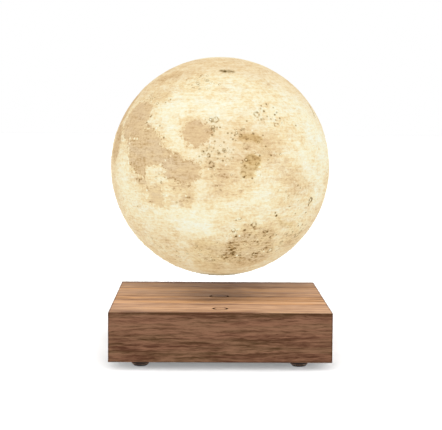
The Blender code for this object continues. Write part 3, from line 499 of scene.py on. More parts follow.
# Seas with a crisp shore: tone, olive share, then the corners by latitude and longitude
SHORES = [
    (0.7, 0.05, [(36, -61), (35.5, -53), (33.5, -46.5), (29.5, -43.5), (23, -44.5), (19.5, -43),
     (14, -44), (13, -57), (19, -67), (28, -68), (33, -65)]),
    (0.74, 0.1, [(22, -45), (19, -36), (17.5, -33), (14, -32.5), (9, -27.5), (3.5, -29.5),
     (2, -39.5), (-3.5, -42.5), (-1, -47), (1, -52), (6, -53.5), (12, -55), (15, -53)]),
    (0.75, 0.05, [(10, -30), (7.5, -22), (5, -16.5), (4.5, -11), (1, -10), (-3, -11), (-7, -18),
     (-6, -22.5), (-2, -29.5), (2, -29)]),
    (0.72, 0, [(19, -22.5), (24.5, -20), (26.5, -14.5), (24.5, -7.5), (19.5, -4.5), (14.5, -8),
     (12, -13.5), (14.5, -19)]),
    (0.62, 0.05, [(-9, -39), (-9, -33), (-12, -31), (-18, -31), (-18, -36), (-16, -39)]),
    (0.74, 0.2, [(24, -77), (21, -69), (14, -66), (7, -67), (3, -73), (8, -78)]),
    (0.7, 0.3, [(33, -104), (44, -92), (40, -76), (28, -72), (22, -80), (4, -108), (-6, -120),
     (-2, -140), (20, -146), (38, -128)]),
    (0.68, 0.2, [(-18, -110), (-24, -103), (-30, -108), (-26, -116)]),
    (0.64, 0.3, [(-6, -94), (-14, -82), (-26, -80), (-24, -94), (-14, -100)]),
    (0.66, 0.3, [(-16, -168), (-16, -160), (-23, -160), (-23, -168)]),
    (0.6, 0.4, [(-30, 88), (-30, 97), (-38, 97), (-38, 88)]),
]

# Soft places: darkness from 0 to 1 or below 0 where bright, olive share, softness in degrees,
# then the corners by latitude and longitude
SOFT_PLACES = [
    (0.54, 1, 0.8, [(18, 10.5), (18.5, 14), (18.5, 17), (17, 20.5), (15, 21.5), (14, 18),
     (14.5, 12.5), (15.5, 9)]),
    (0.76, 1, 0.8, [(8.5, 12), (9, 16), (8, 19.5), (5.5, 20), (2, 19.5), (1, 17), (3, 13.5),
     (5, 11)]),
    (0.74, 0.8, 1, [(5, 9.5), (3, 13), (1, 17), (-1.5, 17), (-3, 14), (-3, 11), (0, 9)]),
    (0.56, 0.1, 1.4, [(-10, -18), (-10, -12), (-14, -14), (-18, -16), (-18, -20), (-15, -22)]),
    (0.44, 0.2, 1, [(-3, -47), (-4, -43), (-6, -41), (-9, -45), (-7, -48)]),
    (0.28, 0.4, 2.5, [(15, 20), (14, 26), (10, 26), (7, 25), (7, 20), (11, 19)]),
    (0.36, 0, 4, [(7, -8), (6, 8), (-1, 9), (-9, 18), (-12, 11), (-12, -6)]),
    (0.34, 0.05, 2.5, [(-6, -28), (-5, -20), (-6, -12), (-10, -15), (-11, -24)]),
    (0.28, 0, 4, [(5, 28), (2, 42), (-6, 46), (-11, 46), (-11, 38), (-5, 31), (1, 27)]),
    (0.26, 0, 2.5, [(-14, 32), (-15, 39), (-19, 42), (-20, 35), (-18, 31)]),
    (0.64, 0.22, 2, [(-28, 12.5), (-26.5, 18.5), (-29, 27), (-31, 34), (-42, 38.5), (-52, 42),
     (-60, 33), (-57, 10), (-50, 1), (-42, 4), (-34, 7)]),
    (0.36, 0.1, 5, [(-34, 38), (-30, 48), (-38, 62), (-52, 62), (-56, 40), (-44, 38)]),
    (0.42, 0.6, 2, [(-22, 31), (-24, 37), (-27, 44), (-30, 44), (-28, 36)]),
    (0.38, 0.35, 3.5, [(-37, -17), (-36, -9), (-37, -1), (-43, 9), (-56, 19), (-65, 30), (-72, 0),
     (-70, -22), (-62, -31), (-46, -22)]),
    (0.38, 0.2, 2, [(42, -55), (43, -37), (38, -34), (35, -36), (35, -41), (36, -48)]),
    (0.5, 0.35, 2, [(50, -70), (56, -58), (58, -40), (54, -38), (50, -52), (48, -66)]),
    (0.36, 0.4, 4, [(-30, 50), (-34, 66), (-44, 70), (-44, 50)]),
    (0.3, 0.3, 6, [(-36, 92), (-36, 128), (-60, 128), (-60, 92)]),
    (-0.44, 0, 3, [(42, -34), (40, -6), (36, 13), (30, 9), (27, -4), (29, -24), (33, -38)]),
    (-0.36, 0, 2, [(34, -40), (35, -20), (27, -22), (27, -38)]),
    (-0.5, 0, 4, [(55, 40), (57, 60), (42, 74), (20, 86), (0, 86), (0, 68), (20, 60), (36, 50),
     (46, 40)]),
    (-0.4, 0, 4, [(38, 42), (33, 62), (20, 62), (15, 52), (23, 42)]),
    (-0.4, 0, 3, [(32, -40), (28, -26), (20, -25), (14, -19), (9, -9), (7, -12), (12, -27),
     (20, -32), (26, -38)]),
    (-0.55, 0, 2, [(17, 42), (13, 45), (7, 48), (1, 51), (-4, 54), (-4, 47), (2, 45), (9, 42)]),
    (-0.34, 0, 5, [(44, 8), (41, 28), (34, 48), (28, 42), (31, 37), (38, 33), (37, 15)]),
    (-0.34, 0, 4, [(-9, 10), (-5, 18), (-8, 23), (-14, 23), (-15, 16), (-13, 10)]),
    (-0.5, 0, 1.5, [(-4, -13), (-4, -7), (-7, -7), (-8, -11), (-6, -13)]),
    (-0.62, 0, 5, [(-20, -30), (-18, -18), (-20, -5), (-31, -5), (-34, -16), (-29, -26)]),
    (-0.3, 0, 6, [(-16, -44), (-20, -30), (-30, -26), (-36, -36), (-28, -52), (-16, -58)]),
    (-0.36, 0, 5, [(22, 50), (20, 64), (0, 70), (-16, 66), (-12, 56), (4, 54)]),
    (-0.28, 0, 3, [(3, -58), (-2, -50), (-12, -46), (-20, -50), (-16, -60), (-4, -64)]),
    (-0.26, 0, 9, [(-12, 80), (20, 78), (26, 110), (-10, 118)]),
    (-0.24, 0, 9, [(32, 104), (54, 110), (50, 156), (28, 150)]),
    (-0.24, 0, 9, [(-4, 136), (22, 136), (22, 164), (-4, 164)]),
    (-0.5, 0, 4, [(-38, -88), (-38, -76), (-48, -76), (-48, -88)]),
    (-0.5, 0, 3, [(13, -94), (13, -87), (7, -87), (7, -94)]),
    (-0.5, 0, 2, [(10, -111), (10, -106), (6, -106), (6, -111)]),
    (-0.6, 0, 2, [(26, -120), (26, -116), (22, -116), (22, -120)]),
]

# Warmer tints of the glow, with painted limb shade at the places near the limbs: latitude,
# longitude, half width, half height, share
TINT_AND_LIMB_SHADE_PLACES = [
    (10, -86, 18, 64, 0.7), (-42, -50, 26, 16, 0.3), (70, 0, 80, 14, 0.7), (60, 60, 26, 12, 0.12),
    (-68, 0, 90, 12, 0.5), (-40, 78, 16, 24, 0.5), (40, -60, 16, 20, 0.45), (20, -13, 8, 7, 0.45),
    (12, 22, 8, 9, 0.5), (-6, 42, 8, 10, 0.4), (0, 2, 10, 8, 0.35), (14, 4, 22, 12, 0.5),
    (-4, -8, 14, 10, 0.25)
]

# Where small rings are dense: latitude, longitude, half width, half height, share of cells
RING_PLACES = [
    (29, 28, 8, 7, 0.5), (18, 7.5, 6, 3.5, 0.6), (8.5, -3.5, 9, 5, 0.85), (2, 14, 5, 7, 0.6),
    (23, -5, 4, 5, 0.7), (-40, 20, 18, 14, 0.55), (-50, 5, 16, 6, 0.45), (50, -16, 10, 7, 0.5),
    (-14, -25, 9, 6, 0.22), (-36, 54, 10, 12, 0.55), (-8, 40, 9, 10, 0.35), (11, 23, 8, 8, 0.4),
    (-2, 2, 12, 7, 0.35), (-48, -38, 18, 10, 0.3), (38, -44, 12, 6, 0.4), (15, -60, 5, 5, 0.45),
    (-3, -30, 5, 4, 0.45), (0, 180, 100, 80, 0.22)
]

# Marks that can be told apart: radius in degrees, darkness of the rim and of the core, below 0
# where bright, then the places by latitude and longitude
MARKS = [
    (1.5, 0.4, -0.06, [(29, 20), (26, -3.5), (3.5, -5), (-27.5, 18.5), (-45.5, 39), (-36, 57.5)]),
    (1.5, 0.22, -0.06, [(12.5, 12), (-1, 10.5), (7, 14)]),
    (0.9, 0.34, 0.08, [(21, 11), (18, 9.5), (22, -4.5), (9, -1.5), (8, -6.5), (10.5, 1), (6, 12),
     (-32, 27), (-46.5, 29.5), (-53.5, 16), (-32.5, 60.5), (-46, 10), (49.5, -19),
     (55, -17.5)]),
    (0.8, 0, 0.66, [(35, 28), (29, 31.5), (24, 32), (25.5, 13.5), (23, 44.5), (19, 3), (16, 5.5),
     (18, 6.5), (8, 25), (12.5, 22.5), (8, 19), (-2.5, 11), (-3, 15), (10, -9), (5.5, 0.5),
     (25, -5.5), (22, -1), (7, 5.5), (9, -1.5), (-46.5, 25), (-29.5, 52), (-22, 54), (-21, 30),
     (-22, 44.5), (16.5, -31), (27.5, -43.5), (24, -45)]),
    (0.8, 0, 0.46, [(10, -5), (11.5, -4), (10.5, -2), (7.5, -6), (9, -6.5), (6.5, -2), (7.5, -11),
     (10.5, 1), (14.5, 1), (19, 5), (15.5, 7), (17, 4.5), (22, -2.5), (18, -5), (24.5, -8),
     (20.5, 10), (21, 11), (28, 26), (27, 34), (26, 31), (33, 32), (34, 24), (30, 33),
     (26.5, 28), (18, 21.5), (16, 12.5), (2, 12), (-7, 42), (-18, 38.5), (-47, 37.5), (2, -8.5),
     (15, -3.5), (20, -4), (-19, -50), (-46, -33.5), (-50, -37), (22.5, -35), (35.5, -36.5),
     (37.5, -34), (-33, 49.5), (-32, 28.5), (-35, 32), (-24.5, 8), (-30, 61), (-35, 54.5)]),
    (0.8, 0, -0.6, [(20.5, 16), (6, 12), (2.5, 19), (3.5, 2), (14.5, -6), (-34, 11), (-37, 23.5),
     (-48.5, 12.5), (-49.5, 2.5), (-46, 33.5), (-45, 38.5), (-38.5, 59), (-10, -40.5),
     (-12, -28.5), (-12, -18), (3, -54), (14, -63), (13, -55.5), (7.5, -26), (36, -49),
     (21, -37), (9, -12.5), (1.5, -6.5)]),
    (1.1, 0, -0.66, [(15.5, -56), (15.5, -49.5), (15.5, -52)]),
    (1.05, 0, 0.9, [(31, 25), (19, 16.5), (-34.5, 9), (-30.5, 14), (-22.5, 31), (-18, 54.5)]),
    (1.05, 0, 0.45, [(-50, 4.5), (-43.5, 7.5), (-45.5, 10)]),
    (1, 0, 0.56, [(34.5, 75), (33.5, 75), (32.5, 74.5), (31.5, 74), (30.5, 73.5), (29.5, 73),
     (28.5, 72.5), (27.5, 72)]),
    (1.5, 0.95, -0.2, [(-15.5, 55)]),
    (2.8, 0, 0.5, [(59, 3), (59, 7)]),
    (1.7, 0, 0.5, [(59.5, -0.5), (59, 3), (58.5, 11)]),
]

# Craters that can be told apart: latitude, longitude, radius in degrees, depth in mm
CRATERS = [
    (28.9, 20.3, 1.9, 0.3), (25.3, 13.7, 1.6, 0.25), (30.9, 25.4, 1.7, 0.35),
    (34.5, 28, 2.2, 0.25), (20.5, 9.8, 2.6, 0.3), (17.5, 3.4, 2.4, 0.3), (18.6, 16.4, 1.8, 0.3),
    (12, 13.2, 2.2, 0.25), (6, -28.3, 2, 0.25), (-17, 55.4, 2.4, 0.45), (-30.8, 14.3, 2, 0.3),
    (-27.4, 19, 2.6, 0.3), (-34.4, 8.7, 2.2, 0.3), (-47.2, 8.9, 2.6, 0.3), (-49.8, 4.3, 3, 0.3),
    (54.9, -19.4, 2.6, 0.3), (45.8, -10, 2.2, 0.25), (-8.8, -9.6, 2.2, 0.3), (-14, -44, 2, 0.25),
    (-17.5, -44.5, 1.8, 0.25), (-22, -40, 2.6, 0.25), (-32, -28, 3, 0.25), (-40, -20, 2.6, 0.25),
    (-43, -81.5, 2.8, 0.4), (10, -90.5, 3, 0.4), (24, -118, 1.6, 0.35), (24.5, 32.5, 1.6, 0.25)
]
CRATER_COUNT = 620
CRATER_SEED = 7


def directions(latitude, longitude):
    """Unit vector of a place on the globe, with longitude zero at the front."""
    lat = math.radians(latitude)
    lon = math.radians(longitude)
    return np.array([math.cos(lat) * math.sin(lon), -math.cos(lat) * math.cos(lon),
                     math.sin(lat)])


def hashed(cells, seed):
    """A repeatable number from 0 to 1 for each cell of a grid."""
    x, y, z = cells.astype(np.int64).astype(np.uint32).T
    mixed = x * np.uint32(374761393) + y * np.uint32(668265263) + z * np.uint32(2246822519)
    mixed += np.uint32(seed * 97531)
    mixed = (mixed ^ (mixed >> np.uint32(13))) * np.uint32(1274126177)
    mixed ^= mixed >> np.uint32(16)
    return mixed / 4294967295.0


def value_noise(points, seed):
    """Smooth noise from 0 to 1 at each point."""
    cell = np.floor(points)
    part = points - cell
    part = part * part * (3 - 2 * part)
    return sum(np.prod(np.where(corner, part, 1 - part), axis=1) * hashed(cell + corner, seed)
               for corner in itertools.product((0, 1), repeat=3))


def fractal(points, scale, octaves, seed):
    """Noise of several sizes, from about -1 to 1."""
    return sum(0.6 ** octave * (value_noise(points * scale * 2 ** octave, seed + octave) - 0.5)
               for octave in range(octaves))


def smoothstep(low, high, value):
    """From 0 to 1 between two values."""
    share = np.clip((value - low) / (high - low), 0, 1)
    return share * share * (3 - 2 * share)


def degrees_apart(cosines):
    """The angles in degrees that have these cosines."""
    return np.degrees(np.arccos(np.clip(cosines, -1, 1)))


def flattened(points, latitude, longitude):
    """Degrees east and north of a place for each point of the unit globe."""
    centre = directions(latitude, longitude)
    east = directions(0, longitude + 90)
    angle = degrees_apart(points @ centre)
    across = points @ east
    up = points @ np.cross(centre, east)
    stretch = angle / (np.hypot(across, up) + 1e-9)
    return across * stretch, up * stretch


def strongest(points, places, wobble, outside, inside):
    """The greatest share among the ellipses that hold each point, with soft edges."""
    found = np.zeros(len(points))
    for latitude, longitude, half_width, half_height, amount in places:
        across, up = flattened(points, latitude, longitude)
        reach = np.hypot(across / half_width, up / half_height) + wobble
        found = np.maximum(found, amount * smoothstep(outside, inside, reach))
    return found


def outline_reach(points, corners):
    """Degrees outside an outline for each point of the unit globe, negative inside it."""
    found = np.array([directions(*corner) for corner in corners])
    middle = found.sum(axis=0) / np.linalg.norm(found.sum(axis=0))
    latitude = math.degrees(math.asin(middle[2]))
    longitude = math.degrees(math.atan2(middle[0], -middle[1]))
    across, up = flattened(points, latitude, longitude)
    corner_across, corner_up = flattened(found, latitude, longitude)
    nearest = np.full(len(points), 180.0)
    inside = np.zeros(len(points), bool)
    for index in range(len(corners)):
        run = corner_across[index] - corner_across[index - 1]
        rise = corner_up[index] - corner_up[index - 1]
        east = across - corner_across[index - 1]
        north = up - corner_up[index - 1]
        share = np.clip((east * run + north * rise) / (run ** 2 + rise ** 2), 0, 1)
        nearest = np.minimum(nearest, np.hypot(east - share * run, north - share * rise))
        crosses = (north < 0) != (up < corner_up[index])
        inside ^= crosses & (east < north * run / (rise + 1e-9))
    return np.where(inside, -nearest, nearest)


def crater_list():
    """The craters that can be told apart, then smaller ones scattered from a fixed seed."""
    chance = np.random.default_rng(CRATER_SEED)
    found = [(directions(lat, lon), radius, depth) for lat, lon, radius, depth in CRATERS]
    for _ in range(CRATER_COUNT):
        z = chance.uniform(-1, 1)
        turn = chance.uniform(0, math.tau)
        flat = math.sqrt(1 - z * z)
        radius = 1.15 / chance.uniform(0.16, 1.0) ** 0.75
        place = np.array([flat * math.cos(turn), flat * math.sin(turn), z])
        found.append((place, radius, 0.10 + 0.03 * radius))
    return found


def moon_surface(points):
    """Relief in mm below the globe's radius, and two sets of three marks for each point.

    The first set is the tone, the olive share and the share of warmth and painted limb shade.
    The second is the tone of the nearest sea, the degrees to its shore and the share of cells
    that hold a small ring.
    """
    bend = np.stack([fractal(points, 13.0, 4, seed) for seed in (31, 47, 59)], axis=1)
    bent = points + 0.045 * bend
    bent /= np.linalg.norm(bent, axis=1)[:, None]
    broad = fractal(points, 4.0, 3, 11)
    patches = fractal(bent, 10.0, 4, 23)
    crumbs = fractal(points, 26.0, 4, 71)
    streaks = fractal(points * (20.0, 20.0, 84.0), 1.0, 2, 83)
    light, dark_left = np.ones((2, len(points)))
    olive, sea_tone = np.zeros((2, len(points)))
    share, sea_share = np.full((2, len(points)), 1e-6)
    for darkness, green, soft, corners in SOFT_PLACES:
        reach = outline_reach(bent, corners) + 0.5 * soft * (patches + 1.2 * crumbs)
        amount = smoothstep(soft, -soft, reach)
        if darkness > 0:
            dark_left *= 1 - darkness * amount
            olive += green * darkness * amount
            share += darkness * amount
        else:
            light *= 1 + darkness * amount
    dark = 1 - dark_left

    shore = np.full(len(points), 8.0)
    for tone, green, corners in SHORES:
        reach = outline_reach(bent, corners)
        near = np.exp(-np.maximum(reach, 0) / 1.5)
        sea_tone += near * tone
        sea_share += near
        olive += green * near * (reach < 1.5)
        share += near * (reach < 1.5)
        shore = np.minimum(shore, np.maximum(reach, -8.0))
    sea_tone = sea_tone / sea_share + 0.10 * broad + 0.06 * patches + 0.08 * streaks
    sea = smoothstep(1.0, -1.0, shore)

    rough = 1 - 0.88 * sea
    tone = 0.40 + 0.24 * broad + 0.10 * patches + 0.12 * crumbs + 0.14 * streaks
    tone = np.maximum(0.04 + tone * light, 0.10) + 0.46 * dark
    olive = np.clip(olive / share, 0, 1) * smoothstep(0.05, 0.35, dark + sea)
    relief = -0.20 - RELIEF_DEPTH * np.maximum(0.6 * sea, dark) + 0.14 * crumbs * rough
    for centre, radius, depth in crater_list():
        near = points @ centre > math.cos(math.radians(1.9 * radius))
        part = degrees_apart(points[near] @ centre) / radius
        calm = 1 - 0.8 * sea[near]
        bowl = np.where(part < 1, part ** 2 - 1, 0.0)
        rim = np.exp(-((part - 1.05) / 0.20) ** 2)
        relief[near] += depth * calm * (bowl + 0.45 * rim)
        tone[near] += calm * (-0.07 * bowl * min(1.0, depth * 4) - 0.05 * rim)

    # Warmer tints, and painted shade near the globe's limbs
    warmth_and_limb_shade = strongest(points, TINT_AND_LIMB_SHADE_PLACES, 0.3 * patches, 1.5, 0.4)
    density = strongest(points, RING_PLACES, 0.5 * patches, 1.3, 0.6)
    return relief, (np.clip(tone, 0, 1), olive, warmth_and_limb_shade), (sea_tone, shore, density)


def revolved(name, profile, segments):
    """A turned mesh of quads from pairs of radius and height, closed where the last is the first.

    A radius of zero is one point.
    """
    points = []
    rings = []
    closed = profile[0] == profile[-1]
    for radius, height in profile[closed:]:
        steps = segments if radius > 1e-9 else 1
        rings.append([len(points) + step % steps for step in range(segments + 1)])
        for step in range(steps):
            angle = math.tau * step / segments
            points.append((radius * math.cos(angle), radius * math.sin(angle), height))
    if closed:
        rings.append(rings[0])
    faces = []
    for upper, lower in zip(rings, rings[1:]):
        for step in range(segments):
            face = (upper[step], lower[step], lower[step + 1], upper[step + 1])
            faces.append(tuple(dict.fromkeys(face)))
    mesh = bpy.data.meshes.new(name)
    mesh.from_pydata(points, [], faces)
    mesh.validate()
    mesh.update()
    return mesh


def placed(name, data):
    """A new object in the scene."""
    made = bpy.data.objects.new(name, data)
    scene.collection.objects.link(made)
    return made


def moved(mesh, place, turn=Matrix()):
    """The same mesh, turned and then moved."""
    mesh.transform(Matrix.Translation(place) @ turn)
    return mesh


def show(name, mesh, materials, body, node):
    """A piece of the scene that moves with a body and stands for a CAD node."""
    piece = placed(name, mesh)
    mesh.materials.clear()
    for material in materials:
        mesh.materials.append(material)
    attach(piece, body)
    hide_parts(node)


def soften(mesh, angle=35):
    """Smooth shading with sharp edges kept."""
    mesh.shade_smooth()
    mesh.set_sharp_from_angle(angle=math.radians(angle))


def dress_print(mesh, centre, radius, edge_angle):
    """Presses the Moon's relief into the outer side of a mesh and stores its marks."""
    places = np.zeros(len(mesh.vertices) * 3)
    mesh.vertices.foreach_get("co", places)
    places = places.reshape(-1, 3) - centre
    distance = np.linalg.norm(places, axis=1)
    outer = distance > radius - 0.05 * MM
    unit = places / np.maximum(distance, 1e-9)[:, None]
    relief, *marks = moon_surface(unit)
    off_edge = np.abs(degrees_apart(-unit[:, 2]) - edge_angle)
    fade = smoothstep(0.0, RELIEF_FADE, off_edge)
    pressed = np.minimum(relief, 0.0) * fade * MM
    places[outer] = unit[outer] * (radius + pressed[outer])[:, None]
    mesh.vertices.foreach_set("co", (places + centre).ravel())
    for name, values in zip(("marks", "seas"), marks):
        attribute = mesh.attributes.new(name, "FLOAT_VECTOR", "POINT")
        attribute.data.foreach_set("vector", np.stack(values, axis=1).ravel())
    mesh.update()


def make_globe():
    """The printed shell and its bottom cap, with relief and marks."""
    low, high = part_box("moon_shell")
    radius = (high.x - low.x) / 2
    middle = high.z - radius
    inner = radius - SHELL_WALL * MM
    opening = OPENING * MM
    cap_radius = CAP_RADIUS * MM

    def arc(size, start, end, steps):
        """Profile points on a circle, by angle from straight down."""
        angles = [start + (end - start) * step / steps for step in range(steps + 1)]
        return [(size * math.sin(angle), middle - size * math.cos(angle)) for angle in angles]

    def printed(name, profile, segments, edge, node, slot):
        """A turned piece with the relief pressed in."""
        mesh = revolved(name, profile, segments)
        dress_print(mesh, (0, 0, middle), radius, math.degrees(edge))
        soften(mesh, 60)
        show(name, mesh, [print_material(slot)], "moon", node)

    edge = math.asin(opening / radius)
    profile = arc(radius, math.pi, edge, SHELL_RINGS)
    profile += arc(inner, math.asin(opening / inner), math.pi, INNER_RINGS)
    printed("printed_globe", profile, GLOBE_SEGMENTS, edge, "moon_shell", "moon_print")

    spigot = 27.8 * MM
    spigot_hole = 26.3 * MM
    snap = opening + 0.8 * MM
    floor_radius = 20.0 * MM
    floor_height = middle - math.sqrt(inner ** 2 - floor_radius ** 2)
    snap_low = middle - math.sqrt(inner ** 2 - snap ** 2) + 0.3 * MM
    snap_high = snap_low + 1.2 * MM
    edge = math.asin(cap_radius / radius)
    profile = [(0.0, floor_height)]
    profile += arc(inner, math.asin(floor_radius / inner), math.asin(spigot_hole / inner), 6)
    profile += [(spigot_hole, snap_high), (snap, snap_high), (snap, snap_low), (spigot, snap_low)]
    profile += arc(inner, math.asin(spigot / inner), math.asin(cap_radius / inner), 2)
    profile += arc(radius, edge, 0.0, CAP_RINGS)
    printed("printed_cap", profile, GLOBE_SEGMENTS // 2, edge, "bottom_cap", "cap_print")


def cut_mesh(name, mesh, tools):
    """A mesh with other meshes cut out of it."""
    piece = placed(name, mesh)
    helpers = [placed(name + "_tool", tool) for tool in tools]
    for helper in helpers:
        modifier = piece.modifiers.new("cut", "BOOLEAN")
        modifier.operation = "DIFFERENCE"
        modifier.solver = "EXACT"
        modifier.object = helper
    bpy.context.view_layer.update()
    graph = bpy.context.evaluated_depsgraph_get()
    result = bpy.data.meshes.new_from_object(piece.evaluated_get(graph))
    for old in [piece] + helpers:
        bpy.data.objects.remove(old, do_unlink=True)
    result.name = name
    return result


def block(name, size_x, size_y, size_z, rounding=0.0):
    """A box that stands on height zero, with rounded edges."""
    shape = bmesh.new()
    bmesh.ops.create_cube(shape, size=1, matrix=Matrix.Translation((0, 0, size_z / 2))
                          @ Matrix.Diagonal((size_x, size_y, size_z, 1)))
    if rounding:
        bmesh.ops.bevel(shape, geom=shape.edges[:], offset=rounding, segments=3, profile=0.5,
                        affect="EDGES")
    mesh = bpy.data.meshes.new(name)
    shape.to_mesh(mesh)
    shape.free()
    return mesh


def round_rod(radius, height, segments=ROUND_SEGMENTS):
    """An upright rod on height zero."""
    return revolved("rod", [(0, height), (radius, height), (radius, 0), (0, 0)], segments)


def round_ring(hole, radius, height):
    """A flat ring on height zero."""
    return revolved("ring", [(hole, height), (radius, height), (radius, 0), (hole, 0),
                             (hole, height)], ROUND_SEGMENTS)


def make_case():
    """The walnut block with rounded edges, its two engraved rings and its hollow."""
    low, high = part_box("wooden_case")
    inlet_height = sum(corner.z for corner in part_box("dc_jack_pin")) / 2
    side = high.x - low.x
    tall = high.z - low.z
    groove_width = GROOVE_WIDTH * MM
    groove_depth = GROOVE_DEPTH * MM
    rings = [(0.0, CENTRE_RING * MM), (low.y + TOUCH_DEPTH * MM, TOUCH_RING * MM)]
    over = 1 * MM
    skin = 3 * MM
    wall = 6 * MM
    corner = 14 * MM
    full = side - 2 * wall
    narrow = full - 2 * corner
    hollow = tall - skin + over
    rebate = full + 4 * MM
    tools = [moved(round_ring(radius - groove_width, radius, groove_depth + over),
                   (0, y, high.z - groove_depth)) for y, radius in rings]
    sizes = [(full, narrow, hollow), (narrow, full, hollow), (rebate, rebate, 3.3 * MM + over)]
    tools += [moved(block("hollow", *size), (0, 0, low.z - over)) for size in sizes]
    tools.append(moved(round_rod(5.5 * MM, wall + 2 * over),
                       (0, high.y - wall - over, inlet_height),
                       Matrix.Rotation(-math.pi / 2, 4, "X")))
    screw_place = full / 2 - 4.5 * MM
    for x, y in itertools.product((-screw_place, screw_place), repeat=2):
        tools.append(moved(round_rod(1.8 * MM, 12 * MM, 24), (x, y, low.z)))
    mesh = moved(block("walnut_case", side, side, tall, CASE_ROUNDING * MM), (0, 0, low.z))
    mesh = cut_mesh("walnut_case", mesh, tools)
    show("walnut_case", mesh, [walnut("walnut"), walnut("walnut_engraved", True)], "base",
         "wooden_case")
    near = 0.1 * MM
    for face in mesh.polygons:
        x, y, z = face.center
        for ring_y, radius in rings:
            away = math.hypot(x, y - ring_y)
            if (radius - groove_width - near < away < radius + near
                    and high.z - groove_depth - near / 2 < z < high.z - near / 2):
                face.material_index = 1


def make_feet():
    """Four rubber feet with a rounded lip, a thin bead with a painted highlight and a hollow below.
    """
    materials = [rubber("foot_rubber"), rubber("foot_bead_highlight", 3.2)]
    for corner in ("front_left", "front_right", "rear_left", "rear_right"):
        low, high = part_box("foot_" + corner)
        top = (high.x - low.x) / 2 / MM
        height = (high.z - low.z) / MM
        bottom = top - 1.9
        waist = top - 0.85
        profile = [(0, height), (top - 0.25, height), (top, height - 0.25), (top, 3.1),
                   (top - 0.1, 2.6), (top - 0.4, 2.0)]
        for step in range(9):
            angle = math.pi * (0.5 - step / 8)
            profile.append((waist + BEAD * math.cos(angle), BEAD_HEIGHT + BEAD * math.sin(angle)))
        profile += [(waist - 0.3, 0.7), (bottom + 0.15, 0.2), (bottom, 0), (bottom - 1, 0),
                    (bottom - 1.3, 0.25), (0, 0.25)]
        name = "rubber_foot_" + corner
        mesh = revolved(name, [(out * MM, up * MM) for out, up in profile], ROUND_SEGMENTS)
        moved(mesh, ((low.x + high.x) / 2, (low.y + high.y) / 2, low.z))
        soften(mesh)
        show(name, mesh, materials, "base", "foot_" + corner)
        # The bead's faces take the lighter rubber: a painted highlight along the bead
        for face in mesh.polygons:
            if abs(face.center.z - low.z - BEAD_HEIGHT * MM) < BEAD * MM:
                face.material_index = 1


def dress_nodes():
    """Better materials for the CAD nodes that stay, by how a name starts. A later row wins."""
    black = (30, 30, 32)
    white = (226, 224, 214)
    finishes = [
        ("bottom_plate", plastic("plate_plastic", black, 0.52)),
        ("dc_jack", plastic("inlet_plastic", (24, 24, 26), 0.45)),
        ("dc_jack_pin", metal("pin_nickel", (214, 208, 196), 0.22, (900, 60, 900))),
        ("module_frame", plastic("frame_plastic", black, 0.50)),
        ("coil_bobbin", plastic("bobbin_plastic", white, 0.42)),
        ("coil_tray", plastic("tray_plastic", (232, 230, 222), 0.44)),
        ("coil_carrier", plastic("carrier_plastic", white, 0.44)),
        ("led_", phosphor("led_phosphor")),
        (("case_screw", "module_screw", "driver_screw", "led_screw"),
         metal("screw_steel", (196, 196, 192), 0.34)),
        ("coil_core", metal("core_iron", (138, 138, 140), 0.42)),
        ("yoke_plate", metal("yoke_steel", (158, 160, 164), 0.36)),
        (("ring_magnet", "driver_inductor"), ferrite("ferrite")),
        ("levitation_magnet", metal("magnet_nickel", (218, 214, 206), 0.20)),
        ("coil_winding", winding("copper_winding", False)),
        (("transmit_coil", "receiver_coil"), winding("copper_flat", True)),
        ("touch_pad", metal("touch_copper", (205, 128, 84), 0.30)),
        (("control_board", "hall_board", "driver_board"),
         circuit("circuit_board", (18, 74, 44), (32, 104, 62))),
        ("led_board", circuit("led_board_white", (222, 222, 216), (238, 238, 232))),
        (("control_chip", "coil_driver", "driver_chip"),
         plastic("chip_resin", (26, 26, 28), 0.46, 0.4)),
        (("supply_capacitor", "driver_capacitor"), metal("capacitor_can", (206, 208, 212), 0.28)),
        ("led_post", metal("post_aluminium", (212, 214, 218), 0.30)),
    ]
    for starts, material in finishes:
        for name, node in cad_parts.items():
            if name.startswith(starts):
                node.material_slots[0].material = material


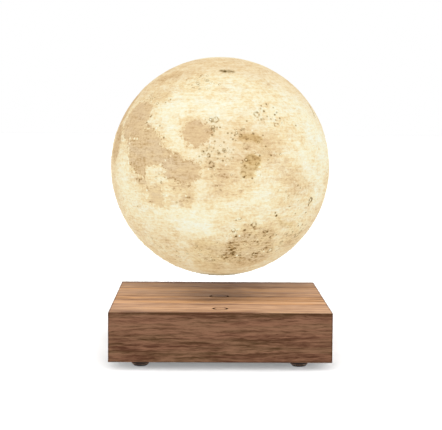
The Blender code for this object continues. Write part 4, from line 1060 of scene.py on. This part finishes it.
def make_stage():
    """A plain pale floor, a white surround and soft light from above."""
    mesh = bpy.data.meshes.new("floor")
    corners = [(x * FLOOR_HALF, y * FLOOR_HALF, 0) for x, y in ((-1, -1), (1, -1), (1, 1), (-1, 1))]
    mesh.from_pydata(corners, [], [(0, 1, 2, 3)])
    paper = Nodes("pale_floor")
    paper.shader.subsurface_method = "BURLEY"
    colour = paper.mix(paper.noise(900.0, 3.0).spread(0.3, 0.7), (0.69, 0.69, 0.69, 1),
                       (0.71, 0.71, 0.71, 1))
    mesh.materials.append(paper.finish(
        colour, 0.9, specular=0.0, Emission_Color=(1, 1, 1, 1), Emission_Strength=FLOOR_GLOW,
        Subsurface_Weight=1.0, Subsurface_Radius=(1, 1, 1), Subsurface_Scale=FLOOR_DEPTH))
    placed("floor", mesh)

    world = bpy.data.worlds.new("surround")
    scene.world = world
    world.use_nodes = True
    tree = world.node_tree
    sky = tree.nodes["Background"]
    sky.inputs[0].default_value = (1, 1, 1, 1)
    path = tree.nodes.new("ShaderNodeLightPath")
    level = tree.nodes.new("ShaderNodeMapRange")
    level.inputs["To Min"].default_value = SKY_STRENGTH
    level.inputs["To Max"].default_value = BACKDROP_STRENGTH
    tree.links.new(path.outputs["Is Camera Ray"], level.inputs["Value"])
    tree.links.new(level.outputs[0], sky.inputs[1])

    lamp = bpy.data.lights.new("key", "SUN")
    lamp.energy = KEY_POWER
    lamp.angle = math.radians(KEY_SPREAD)
    placed("key", lamp).rotation_euler = (math.radians(KEY_TILT), 0, 0)


def make_camera():
    """The camera at the photograph's place."""
    camera = bpy.data.cameras.new("camera")
    camera.lens = CAMERA_LENS
    camera.sensor_fit = "HORIZONTAL"
    camera.clip_start = 0.01
    scene.camera = placed("camera", camera)
    scene.camera.matrix_world = (
        Matrix.Translation(CAMERA_PLACE) @ Matrix.Rotation(-CAMERA_YAW, 4, "Z")
        @ Matrix.Rotation(math.pi / 2 - CAMERA_PITCH, 4, "X")
        @ Matrix.Rotation(CAMERA_ROLL, 4, "Z"))


make_camera()
make_stage()
make_globe()
make_case()
make_feet()
dress_nodes()
scene.view_settings.view_transform = "Standard"
